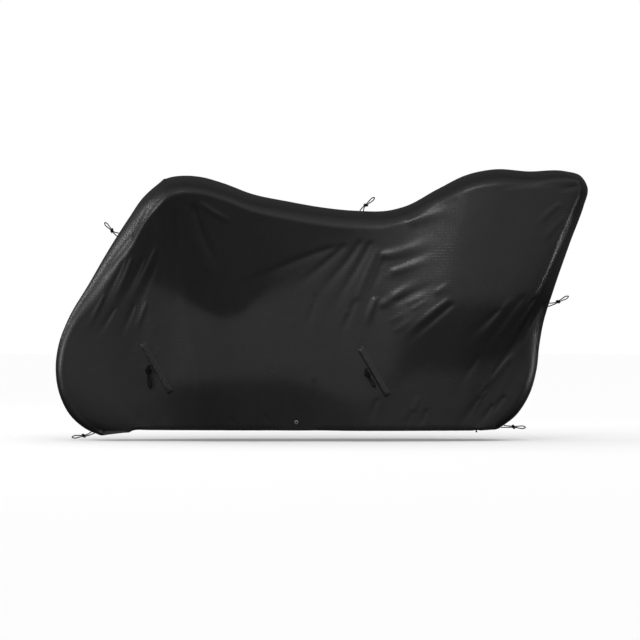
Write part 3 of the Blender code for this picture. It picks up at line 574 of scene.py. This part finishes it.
def unit(vectors):
    return vectors / np.maximum(np.linalg.norm(vectors, axis=-1, keepdims=True), 1e-9)


def surface_normals(points):
    return unit(np.cross(np.gradient(points, axis=0), np.gradient(points, axis=1)))


def panel_surface(side):
    """The near (side -1) or far (side +1) panel's outer face, and its flat pattern."""
    points, flat, from_hem, from_seam = half_surface()
    normal = surface_normals(points)
    x, z = points[..., 0], points[..., 2]
    share = from_hem / (from_seam + from_hem)
    depth = crease_depth(panel_creases(CREASES + FINE_CREASES, side), x, z)
    depth += crinkle(x, z, share, side * CRINKLE_SEED)
    depth *= np.clip((1 - share) / EDGE_CALM, 0, 1)
    depth -= HEM_TUCK * np.clip(1 - from_hem / HEM_TUCK_REACH, 0, 1) ** 2
    depth -= STITCH_SINK * bump_at(from_hem, HEM_STITCH, STITCH_SINK_WIDTH)
    depth -= STITCH_SINK * bump_at(from_seam, SEAM_STITCH, STITCH_SINK_WIDTH)
    depth += SEAM_BAND_RISE * eased((SEAM_BAND - from_seam) / SEAM_BAND_EDGE)
    depth -= SEAM_GROOVE * bump_at(from_seam, 0.0, SEAM_GROOVE_WIDTH)
    gap = np.hypot(x - EYELET_AT[0], z - EYELET_AT[1])
    level = 1 - eased((gap - FLAT_R) / (BLEND_R - FLAT_R))
    points = points + normal * (depth * (1 - level))[..., None]
    leaning = EYELET_INNER_Y + (z - EYELET_AT[1]) * EYELET_SLOPE
    points[..., 1] -= (points[..., 1] + leaning) * level
    points += surface_normals(points) * CLOTH
    points[..., 1] = np.minimum(points[..., 1], -SEAM_GAP / 2)
    points[..., 1] *= -side
    return points, flat


def opening_edge(grid):
    """A grid's first column from the seam down, its hem row, and its last column up."""
    return np.concatenate([grid[0, ::-1], grid[1:-1, 0], grid[-1]])


def way_out(grid):
    """The way out of the cloth at each place of the opening's edge."""
    return np.concatenate([
        (grid[0] - grid[1])[::-1], (grid[:, 0] - grid[:, 1])[1:-1], grid[-1] - grid[-2],
    ])


def turned_hem(points, flat, side):
    """Rows of the cloth that rolls over the opening's edge and lies inside it.

    Also their places on the flat pattern, and the line that stitches it down.
    """
    edge = opening_edge(points)
    inward = opening_edge(surface_normals(points)) * side
    run = unit(np.gradient(edge, axis=0))
    out = way_out(points)
    out = unit(out - (out * run).sum(axis=1, keepdims=True) * run)
    for _ in range(HEM_SMOOTHING):
        out[1:-1] = unit(out[:-2] + 2 * out[1:-1] + out[2:])
    flat_edge, flat_out = opening_edge(flat), unit(way_out(flat))
    rows, flats = [], []
    for angle in np.linspace(0, math.pi, HEM_ROLL_STEPS + 1)[1:]:
        across, down = HEM_ROLL * (1 - math.cos(angle)), HEM_ROLL * math.sin(angle)
        rows.append(edge + inward * across + out * down)
        flats.append(flat_edge + flat_out * HEM_ROLL * angle)
    for up in HEM_INSIDE:
        rows.append(edge + inward * 2 * HEM_ROLL - out * up)
        flats.append(flat_edge + flat_out * (HEM_ROLL * math.pi + up))
    return rows, flats, edge - out * HEM_STITCH


def seam_allowance(points, flat, side):
    """Rows of the cloth that goes on inside, behind the seam."""
    run = unit(np.gradient(points[:, -1], axis=0))
    inward = np.stack([run[:, 2], np.zeros(len(run)), -run[:, 0]], axis=1)
    flat_on = unit(flat[:, -1] - flat[:, -3])
    rows, flats = [], []
    for depth, across in SEAM_ALLOWANCE[side]:
        rows.append(points[:, -1] + inward * depth - np.array((0.0, side * across, 0.0)))
        flats.append(flat[:, -1] + flat_on * depth)
    return np.stack(rows, axis=1), np.stack(flats, axis=1)


def grid_faces(index, flip=False):
    """Quads between the rows and columns of an array of vertex numbers."""
    a, b, c, d = index[:-1, :-1], index[1:, :-1], index[1:, 1:], index[:-1, 1:]
    quads = np.stack([a, d, c, b] if flip else [a, b, c, d], axis=-1)
    return quads.reshape(-1, 4)


def flat_area(flat):
    """The area of a grid laid flat."""
    a, b, c, d = flat[:-1, :-1], flat[1:, :-1], flat[1:, 1:], flat[:-1, 1:]
    one, two = c - a, d - b
    return float(np.abs(one[..., 0] * two[..., 1] - one[..., 1] * two[..., 0]).sum() / 2)


def mesh_with_uv(name, points, faces, uvs):
    """A smooth mesh whose UV map holds one place for each vertex."""
    mesh = bpy.data.meshes.new(name)
    mesh.from_pydata(np.asarray(points).tolist(), [], np.asarray(faces).tolist())
    layer = mesh.uv_layers.new(name="flat_pattern")
    corners = np.zeros(len(mesh.loops), np.int32)
    mesh.loops.foreach_get("vertex_index", corners)
    layer.data.foreach_set("uv", np.asarray(uvs)[corners].astype(np.float32).ravel())
    mesh.shade_smooth()
    return mesh


def new_object(name, data):
    made = bpy.data.objects.new(name, data)
    bpy.context.scene.collection.objects.link(made)
    return made


def new_piece(name, data, finish):
    made = new_object(name, data)
    data.materials.clear()
    data.materials.append(finish)
    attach(made, "root")
    return made


def cut_eyelet_hole(points, faces):
    """Take out the faces inside the eyelet and round off what is left."""
    away = points[:, (0, 2)] - EYELET_AT
    middle = away[faces].mean(axis=1)
    inside = np.linalg.norm(middle, axis=1) < EYELET_CUT_R
    ring = np.intersect1d(faces[inside], faces[~inside])
    round_place = unit(away[ring]) * EYELET_CUT_R + EYELET_AT
    points[ring[:, None], (0, 2)] = round_place
    return faces[~inside]


def make_panel(prefix, side, finish):
    """The cloth of one panel: outer face, turned hem and seam allowance in one sheet."""
    points, flat = panel_surface(side)
    high = points.shape[1]
    hem_rows, hem_flats, stitch_line = turned_hem(points, flat, side)
    inner, inner_flat = seam_allowance(points, flat, side)
    whole = np.concatenate([points, inner], axis=1)
    whole_flat = np.concatenate([flat, inner_flat], axis=1)
    index = np.arange(whole.shape[0] * whole.shape[1]).reshape(whole.shape[:2])
    first = index.size
    edge_index = opening_edge(index[:, :high])
    hem_index = first + np.arange(len(hem_rows) * len(edge_index)).reshape(len(hem_rows), -1)
    strip = np.concatenate([edge_index[None], hem_index])[::-1].T
    all_points = np.concatenate([whole.reshape(-1, 3), *hem_rows])
    faces = cut_eyelet_hole(all_points, grid_faces(index, side > 0))
    faces = np.concatenate([faces, grid_faces(strip, side > 0)])
    uvs = np.concatenate([whole_flat.reshape(-1, 2), *hem_flats])
    mesh = mesh_with_uv(prefix + "_panel_cloth", all_points, faces, uvs)
    panel = new_piece(mesh.name, mesh, finish)
    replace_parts(panel, prefix + "_panel")
    tree = BVHTree.FromPolygons(all_points.tolist(), faces.tolist())
    size = flat.reshape(-1, 2).max(axis=0) - flat.reshape(-1, 2).min(axis=0)
    lines = [stitch_line, points[:, high - 1 - SEAM_ROWS[::-1].index(SEAM_STITCH)]]
    return panel, tree, lines, size, flat_area(whole_flat)


def resampled(line, step):
    """The line again with evenly spaced points, on a smooth curve."""
    line = np.asarray([tuple(place) for place in line])
    along = distances(line)
    at = np.linspace(0.0, along[-1], round(along[-1] / step) + 1)
    return np.stack([smooth(along, line[:, k], at) for k in range(3)], axis=1)


def make_stitches(name, lines, tree, thread):
    """Every stitch of the lines, as short threads that dip into the cloth at both ends."""
    points, faces = [], []
    turn = np.linspace(0, 2 * math.pi, STITCH_SIDES, endpoint=False)
    rings = len(STITCH_HEIGHTS)
    for line in lines:
        along = distances(line)
        for start in np.arange(STITCH_PITCH / 2, along[-1] - STITCH_LONG, STITCH_PITCH):
            at = start + np.linspace(0, STITCH_LONG, rings)
            places = np.stack([np.interp(at, along, line[:, k]) for k in range(3)], axis=1)
            first = len(points)
            run = Vector(places[-1] - places[0]).normalized()
            for place, height in zip(places, STITCH_HEIGHTS):
                spot, up, _, _ = tree.find_nearest(Vector(place))
                beside = run.cross(up).normalized()
                middle = spot + up * height
                points += [
                    tuple(middle + (up * math.sin(a) + beside * math.cos(a)) * STITCH_R)
                    for a in turn
                ]
            index = first + np.arange(rings * STITCH_SIDES).reshape(rings, STITCH_SIDES)
            faces.append(grid_faces(np.concatenate([index, index[:, :1]], axis=1)))
    mesh = mesh_with_uv(name, points, np.concatenate(faces), np.array(points)[:, (0, 2)])
    return new_piece(name, mesh, thread)


def outer_point(tree, x, z, side):
    """Where the cloth of that side is met, coming from outside, and its outward normal."""
    start = Vector((x, side * OUTSIDE, z))
    place, normal, _, _ = tree.ray_cast(start, Vector((0, -side, 0)))
    return place, normal if normal.y * side > 0 else -normal


def flap_arch(offset):
    """The raised part's height across the flap, from 0 at both edges to 1 at its crest."""
    if offset > FLAP_CREST - 0.5:
        rise = (0.5 - offset) / (1 - FLAP_CREST)
    else:
        rise = (offset + 0.5) / FLAP_CREST
    return math.sin(min(rise, 1.0) * math.pi / 2) ** FLAP_ARCH_POWER


def make_flap(prefix, place, side, tree, finish, thread):
    """A strip stitched down along both edges, its middle raised as a soft tunnel."""
    start, end = (Vector((x, 0, z)) for x, z in FLAPS[place])
    along = (end - start).normalized()
    across = Vector((-along.z, 0, along.x))
    points, uvs = [], []
    for k in range(FLAP_ROWS):
        share = k / (FLAP_ROWS - 1)
        closing = min(share, 1 - share) / FLAP_END
        full = float(eased(closing)) ** FLAP_CLOSING_POWER
        for j in range(FLAP_COLUMNS):
            offset = j / (FLAP_COLUMNS - 1) - 0.5
            on = start.lerp(end, share) + across * (offset * FLAP_WIDTH)
            hit, normal = outer_point(tree, on.x, on.z, side)
            wave = noise.noise(Vector((
                share * FLAP_WAVES[0], offset * FLAP_WAVES[1], side * FLAP_WAVE_SEED,
            )))
            lift = FLAP_LIFT + (FLAP_RISE * flap_arch(offset) + FLAP_WAVE * wave) * full
            points.append(tuple(hit + normal * lift))
            uvs.append((offset * FLAP_WIDTH, share * (end - start).length))
    index = np.arange(len(points)).reshape(FLAP_ROWS, FLAP_COLUMNS)
    name = f"{prefix}_flap_{place}"
    faces = grid_faces(index, side < 0)
    mesh = mesh_with_uv(name + "_cloth", points, faces, uvs)
    flap = new_piece(mesh.name, mesh, finish)
    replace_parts(flap, name)
    grid = np.array(points).reshape(FLAP_ROWS, FLAP_COLUMNS, 3)
    inset = FLAP_STITCH / FLAP_WIDTH * (FLAP_COLUMNS - 1)
    low, part = int(inset), inset - int(inset)
    lines = [
        grid[:, low] * (1 - part) + grid[:, low + 1] * part,
        grid[:, -1 - low] * (1 - part) + grid[:, -2 - low] * part,
    ]
    surface = BVHTree.FromPolygons(points, faces.tolist())
    stitches = make_stitches(name + "_stitches", lines, surface, thread)


def rounded_rectangle(inset, steps):
    """Points of the patch's outline, moved in by inset, evenly in angle."""
    half = np.array(PATCH_SIZE) / 2 - inset
    corner = max(PATCH_CORNER - inset, LEAST_CORNER)
    angle = np.linspace(0, 2 * math.pi, steps, endpoint=False)
    ray = np.stack([np.cos(angle), np.sin(angle)], axis=1)
    places = []
    for way in ray:
        low, high = 0.0, 2 * max(half)
        for _ in range(HALVINGS):
            middle = (low + high) / 2
            beyond = np.maximum(np.abs(way * middle) - (half - corner), 0)
            low, high = (middle, high) if np.hypot(*beyond) < corner else (low, middle)
        places.append(way * low)
    return np.array(places)


def eyelet_place(side):
    """The matrix that takes local X, Y and Z to the cloth's outer face at the eyelet."""
    z = Vector((0, side, -EYELET_SLOPE)).normalized()
    x = Vector((1, 0, 0))
    turn = Matrix((x, z.cross(x), z)).transposed().to_4x4()
    inner = Vector((EYELET_AT[0], side * EYELET_INNER_Y, EYELET_AT[1]))
    return Matrix.Translation(inner + z * CLOTH) @ turn


def make_patch(prefix, side, finish):
    outline = rounded_rectangle(0.0, PATCH_STEPS)
    hole = unit(outline) * EYELET_CUT_R
    rings = [hole + (outline - hole) * share for share in np.linspace(0, 1, PATCH_RINGS)]
    flat = np.concatenate(rings)
    index = np.arange(len(flat)).reshape(PATCH_RINGS, PATCH_STEPS)
    index = np.concatenate([index, index[:, :1]], axis=1)
    points = np.concatenate([flat, np.full((len(flat), 1), -PATCH_BEHIND)], axis=1)
    name = prefix + "_eyelet_patch"
    mesh = mesh_with_uv(name + "_cloth", points, grid_faces(index), flat)
    mesh.transform(eyelet_place(side))
    patch = new_piece(name + "_cloth", mesh, finish)
    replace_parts(patch, name)
    stitched = rounded_rectangle(PATCH_STITCH, PATCH_STEPS)
    stitched = np.concatenate([stitched, stitched[:1]])
    return np.array([eyelet_place(side) @ Vector((u, v, 0.0)) for u, v in stitched])


def make_eyelet(prefix, side, finish):
    points = []
    for radius, height in EYELET_PROFILE:
        for angle in np.linspace(0, 2 * math.pi, EYELET_STEPS, endpoint=False):
            points.append((radius * math.cos(angle), radius * math.sin(angle), height))
    index = np.arange(len(points)).reshape(len(EYELET_PROFILE), EYELET_STEPS)
    index = np.concatenate([index, index[:1]])
    index = np.concatenate([index, index[:, :1]], axis=1)
    name = prefix + "_eyelet"
    mesh = mesh_with_uv(name + "_metal", points, grid_faces(index), np.array(points)[:, :2])
    mesh.transform(eyelet_place(side))
    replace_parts(new_piece(name + "_metal", mesh, finish), name)


def tube_mesh(name, line, radius, sides):
    """A tube along the line with rounded ends; its UV is the way along and the way round."""
    run = unit(np.gradient(line, axis=0))
    up = Vector((0, 1, 0)) if abs(run[0][1]) < ACROSS_LEAST else Vector((1, 0, 0))
    turn = np.linspace(0, 2 * math.pi, sides + 1)
    along = distances(line)
    caps = [(shift, math.sqrt(1 - shift * shift)) for shift in CAP_RINGS]
    rings = [(0, -shift * radius, size * radius) for shift, size in caps]
    rings += [(k, 0.0, radius) for k in range(len(line))]
    rings += [(len(line) - 1, shift * radius, size * radius) for shift, size in reversed(caps)]
    points, uvs = [], []
    for k, ahead, size in rings:
        way = Vector(run[k])
        up = (up - way * up.dot(way)).normalized()
        beside = way.cross(up)
        middle = Vector(line[k]) + way * ahead
        for angle in turn:
            points.append(tuple(middle + (up * math.cos(angle) + beside * math.sin(angle)) * size))
            uvs.append((along[k] + ahead, angle / (2 * math.pi)))
    index = np.arange(len(points)).reshape(len(rings), sides + 1)
    return mesh_with_uv(name, points, grid_faces(index, True), uvs)


def flap_loop_places(place, side, tree):
    """Where the cord leaves the flap, the knot's centre and the tip, and the way out."""
    places = []
    for (x, z), stand_off in zip(FLAP_LOOPS[place], FLAP_STAND_OFF):
        hit, normal = outer_point(tree, x, z, side)
        places.append(hit + normal * stand_off)
    return places, normal


def seam_roots(x, z):
    """The two strands' ends just off the seam, nearest to that place of a side view."""
    rows = section_rows(ALONG)
    line = np.stack([rows["seam_x"], rows["seam_z"]], axis=1)
    k = int(np.argmin(np.hypot(line[:, 0] - x, line[:, 1] - z)))
    run = line[k + 1] - line[k - 1]
    run /= np.linalg.norm(run)
    outward = Vector((-run[1], 0, run[0]))
    middle = Vector((line[k][0], 0, line[k][1])) + outward * (CLOTH + SEAM_STAND_OFF)
    step = Vector((run[0], 0, run[1])) * (SEAM_SPREAD / 2)
    return middle + step, middle - step


def flap_roots(leaves, knot, normal):
    """The two strands' ends beside a flap, side by side on the panel."""
    step = normal.cross(knot - leaves).normalized() * (FLAP_SPREAD / 2)
    return leaves + step, leaves - step


def loop_route(roots, knot, tip, normal, lead):
    """Points of a cord that leaves the cloth, runs through the knot, round and back."""
    ahead = (tip - knot).normalized()
    across = normal.cross(ahead).normalized()
    if (roots[0] - roots[1]).dot(across) < 0:
        across = -across
    reach = (tip - knot).length
    strands = []
    for way, root in zip((1, -1), roots):
        inside = across * (way * STRAND_PITCH / 2)
        strands.append([
            root,
            knot - ahead * lead + inside,
            knot + inside,
            knot + ahead * lead + inside,
            *(
                knot + ahead * (reach * share) + across * (way * LOOP_WIDTH * spread)
                for share, spread in LOOP_SPREADS
            ),
        ])
    return [*strands[0], tip, *reversed(strands[1])], ahead, across


def knot_line(row, centre, ahead, across):
    """The middle of the cord that is drawn tight round the two strands."""
    third = ahead.cross(across)
    line = []
    steps = row["turns"] * KNOT_TURN_STEPS
    for turns in np.linspace(-row["turns"] / 2, row["turns"] / 2, steps + 1):
        angle = 2 * math.pi * turns + math.pi / 2
        beside = min(max(2 * math.cos(angle), -1.0), 1.0) * STRAND_PITCH / 2
        line.append(
            centre + across * (beside + row["away"] * math.cos(angle))
            + third * (row["away"] * math.sin(angle))
            + ahead * (row["pitch"] * turns + row["slant"] * math.cos(angle))
        )
    return np.array([tuple(place) for place in line])


def make_loop(name, kind, roots, knot, tip, normal, finish):
    row = dict(zip(KNOT_COLUMNS, KNOTS[kind]))
    route, ahead, across = loop_route(roots, knot, tip, normal, row["lead"])
    turns = knot_line(row, knot, ahead, across)
    turns = tube_mesh(name + "_knot_cord", turns, row["radius"], CORD_SIDES)
    turns = new_piece(turns.name, turns, finish)
    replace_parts(turns, name + "_knot")
    line = resampled(route, CORD_STEP)
    cord = tube_mesh(name + "_cord", line, CORD_R, CORD_SIDES)
    cord = new_piece(cord.name, cord, finish)
    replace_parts(cord, name)


def add_node(tree, kind, settings=(), **inputs):
    """A shader node with its settings and inputs; an input is a value or another's output."""
    made = tree.nodes.new("ShaderNode" + kind)
    for name, value in dict(settings).items():
        setattr(made, name, value)
    for name, value in inputs.items():
        socket = made.inputs[int(name[1:])] if name[0] == "_" else made.inputs[name]
        if isinstance(value, bpy.types.NodeSocket):
            tree.links.new(value, socket)
        else:
            socket.default_value = value
    return made


def maths(tree, operation, *values):
    inputs = {f"_{k}": value for k, value in enumerate(values)}
    return add_node(tree, "Math", {"operation": operation}, **inputs).outputs[0]


def shader_material(name, colour, roughness, specular=0.5, metallic=0.0):
    made = bpy.data.materials.new(name)
    made.use_nodes = True
    shader = made.node_tree.nodes["Principled BSDF"]
    shader.inputs["Base Color"].default_value = (*colour, 1.0)
    shader.inputs["Roughness"].default_value = roughness
    shader.inputs["Specular IOR Level"].default_value = specular
    shader.inputs["Metallic"].default_value = metallic
    return made


def link_finish(made, height, colours, mix, rough, rough_mix):
    """Bump from a height in metres; colour and roughness between two values each."""
    tree = made.node_tree
    shader = tree.nodes["Principled BSDF"]
    bump = add_node(tree, "Bump", Strength=1.0, Distance=1.0, Height=height)
    tree.links.new(bump.outputs["Normal"], shader.inputs["Normal"])
    blend = add_node(tree, "Mix", {"data_type": "RGBA"}, Factor=mix)
    for socket, colour in zip(("A", "B"), colours):
        place = [s for s in blend.inputs if s.name == socket and s.type == "RGBA"][0]
        place.default_value = (*colour, 1.0)
    tree.links.new([s for s in blend.outputs if s.type == "RGBA"][0], shader.inputs["Base Color"])
    spread = add_node(tree, "MapRange", _0=rough_mix, _3=rough[0], _4=rough[1])
    tree.links.new(spread.outputs[0], shader.inputs["Roughness"])


def ripstop_material(name, colours):
    """Coated cloth with a grid of thicker threads, a fine weave and a light crumple."""
    made = shader_material(name, colours[0], RIPSTOP_ROUGH[1])
    tree = made.node_tree
    place = add_node(tree, "TexCoord").outputs["UV"]
    axes = add_node(tree, "SeparateXYZ", _0=place)
    lines, weave = [], []
    for axis in "XY":
        way = axes.outputs[axis]
        cell = maths(tree, "FRACT", maths(tree, "DIVIDE", way, RIPSTOP_PITCH))
        off = maths(tree, "ABSOLUTE", maths(tree, "SUBTRACT", cell, 0.5))
        line = add_node(
            tree, "MapRange", {"interpolation_type": "SMOOTHSTEP"}, _0=off,
            _1=0.5 - RIPSTOP_LINE, _2=0.5 - RIPSTOP_LINE / 3,
        )
        lines.append(line.outputs[0])
        weave.append(maths(tree, "SINE", maths(tree, "MULTIPLY", way, 2 * math.pi / WEAVE_PITCH)))
    grid = maths(tree, "MAXIMUM", *lines)
    fine = maths(tree, "MULTIPLY", *weave)
    crumple = add_node(tree, "TexNoise", Vector=place, **CRUMPLE_NOISE)
    patches = add_node(tree, "TexNoise", Vector=place, **PATCHY_NOISE)
    height = maths(tree, "MULTIPLY", grid, RIPSTOP_HEIGHT)
    height = maths(tree, "MULTIPLY_ADD", fine, WEAVE_HEIGHT, height)
    height = maths(tree, "MULTIPLY_ADD", crumple.outputs[0], CRUMPLE_HEIGHT, height)
    shade = maths(tree, "MULTIPLY_ADD", grid, GRID_SHADE, crumple.outputs[0])
    dull = maths(tree, "MULTIPLY_ADD", patches.outputs[0], *PATCHY_DULLNESS)
    dull = maths(tree, "MULTIPLY_ADD", grid, GRID_SHINE, dull)
    link_finish(made, height, colours, shade, RIPSTOP_ROUGH, dull)
    return made


def braid_material(name, colours, rough, pitch, strands):
    """Braided cord or twisted thread; the UV is the way along and the way round."""
    made = shader_material(name, colours[0], rough[0], THREAD_SPECULAR)
    tree = made.node_tree
    axes = add_node(tree, "SeparateXYZ", _0=add_node(tree, "TexCoord").outputs["UV"])
    along = maths(tree, "MULTIPLY", axes.outputs["X"], 2 * math.pi / pitch)
    round_it = maths(tree, "MULTIPLY", axes.outputs["Y"], 2 * math.pi * strands)
    one = maths(tree, "SINE", maths(tree, "ADD", along, round_it))
    two = maths(tree, "SINE", maths(tree, "SUBTRACT", along, round_it))
    strand = maths(tree, "MULTIPLY_ADD", maths(tree, "MULTIPLY", one, two), 0.5, 0.5)
    height = maths(tree, "MULTIPLY", strand, BRAID_HEIGHT)
    link_finish(made, height, colours, strand, rough, strand)
    return made


def metal_material():
    """Nickel plate with fine scuffs."""
    made = shader_material("eyelet_metal", METAL_COLOUR, 0.3, metallic=1.0)
    tree = made.node_tree
    place = add_node(tree, "TexCoord").outputs["Object"]
    scuffs = add_node(tree, "TexNoise", Vector=place, **SCUFF_NOISE).outputs[0]
    height = maths(tree, "MULTIPLY", scuffs, SCUFF_HEIGHT)
    link_finish(made, height, METAL_COLOURS, scuffs, METAL_ROUGH, scuffs)
    return made


def area_light(name, place, target, size, watts, spread):
    data = bpy.data.lights.new(name, "AREA")
    data.shape = "RECTANGLE"
    data.size, data.size_y = size
    data.energy = watts
    data.spread = math.radians(spread)
    lamp = new_object(name, data)
    lamp.location = place
    lamp.visible_camera = False
    lamp.rotation_euler = (Vector(target) - Vector(place)).to_track_quat("-Z", "Y").to_euler()
    return lamp


def make_stage():
    """A pale floor that only the camera and its own light see, the world and the lamps."""
    half = FLOOR_HALF
    corners = [(-half, -half, 0), (half, -half, 0), (half, half, 0), (-half, half, 0)]
    mesh = bpy.data.meshes.new("floor")
    mesh.from_pydata(corners, [], [(0, 1, 2, 3)])
    floor = new_object("floor", mesh)
    floor.location.z = GROUND_Z
    pale = shader_material("pale_floor", (FLOOR_SHADE,) * 3, FLOOR_ROUGH, 0.0)
    shader = pale.node_tree.nodes["Principled BSDF"]
    shader.inputs["Emission Color"].default_value = (1, 1, 1, 1)
    shader.inputs["Emission Strength"].default_value = FLOOR_GLOW
    mesh.materials.append(pale)
    floor.visible_glossy = False
    floor.visible_diffuse = False
    floor.visible_shadow = False

    make_world()
    sun = bpy.data.lights.new("above", "SUN")
    sun.energy = SUN_STRENGTH
    sun.angle = math.radians(SUN_DEGREES)
    new_object("above", sun).visible_glossy = False
    for row in LAMPS:
        area_light(*row)


def light_far_side():
    """Soft light from behind that falls on the far panel and its trimmings alone."""
    pieces = bpy.data.collections.new("far_side")
    for made in bpy.context.scene.collection.objects:
        if made.name.startswith("far_") and made.type == "MESH":
            pieces.objects.link(made)
    for row in FAR_LAMPS:
        area_light(*row).light_linking.receiver_collection = pieces


def make_world():
    """White behind the object; for its light and reflections brighter above and in front."""
    world = bpy.data.worlds.new("studio")
    bpy.context.scene.world = world
    world.use_nodes = True
    tree = world.node_tree
    place = add_node(tree, "TexCoord").outputs["Generated"]
    axes = add_node(tree, "SeparateXYZ", Vector=place)
    half = maths(tree, "MULTIPLY_ADD", axes.outputs["Z"], 0.5, 0.5)
    height = add_node(tree, "ValToRGB", Fac=half)
    height.color_ramp.interpolation = "EASE"
    stops = height.color_ramp.elements
    stops.remove(stops[1])
    for up, strength in SKY:
        stop = stops[0] if up == SKY[0][0] else stops.new((up + 1) / 2)
        stop.position = (up + 1) / 2
        stop.color = (strength, strength, strength, 1.0)
    depth = add_node(
        tree, "MapRange", {"interpolation_type": "SMOOTHSTEP"}, _0=axes.outputs["Y"],
        _1=BEHIND_FROM, _2=BEHIND_TO, _3=1.0, _4=BEHIND_SHARE,
    )
    both = maths(tree, "MULTIPLY", height.outputs["Color"], depth.outputs["Result"])
    seen = add_node(
        tree, "Mix", Factor=add_node(tree, "LightPath").outputs["Is Camera Ray"], A=both, B=1.0,
    )
    background = tree.nodes["Background"]
    tree.links.new(seen.outputs["Result"], background.inputs["Strength"])
    background.inputs["Color"].default_value = (1, 1, 1, 1)


def make_camera():
    data = bpy.data.cameras.new("camera")
    data.sensor_width = SENSOR
    data.lens = SENSOR * CAMERA_AWAY / (IMAGE * METRES_PER_PX)
    data.clip_end = CLIP_END
    camera = new_object("camera", data)
    camera.location = (0.0, -CAMERA_AWAY, IMAGE_MIDDLE_Z)
    camera.rotation_euler = (math.pi / 2, 0, 0)
    bpy.context.scene.camera = camera


make_camera()
make_stage()
bpy.context.scene.view_settings.view_transform = "Standard"

cloth = ripstop_material("coated_ripstop", CLOTH_COLOURS)
thread = braid_material(
    "sewing_thread", THREAD_COLOURS, THREAD_ROUGH, THREAD_PITCH, THREAD_STRANDS
)
cord = braid_material("elastic_cord", CORD_COLOURS, CORD_ROUGH, BRAID_PITCH, BRAID_STRANDS)
metal = metal_material()
for prefix, side in (("near", -1), ("far", 1)):
    panel, tree, lines, size, area = make_panel(prefix, side, cloth)
    lines.append(make_patch(prefix, side, cloth))
    make_eyelet(prefix, side, metal)
    stitches = make_stitches(prefix + "_panel_stitches", lines, tree, thread)
    for place in FLAPS:
        make_flap(prefix, place, side, tree, cloth, thread)
        (leaves, knot, tip), normal = flap_loop_places(place, side, tree)
        roots = flap_roots(leaves, knot, normal)
        make_loop(f"{prefix}_flap_{place}_loop", "flap", roots, knot, tip, normal, cord)
light_far_side()
for name, (leaves, knot, tip) in LOOPS.items():
    knot, tip = (Vector((x, 0, z)) for x, z in (knot, tip))
    make_loop(name, "seam", seam_roots(*leaves), knot, tip, Vector((0, 1, 0)), cord)
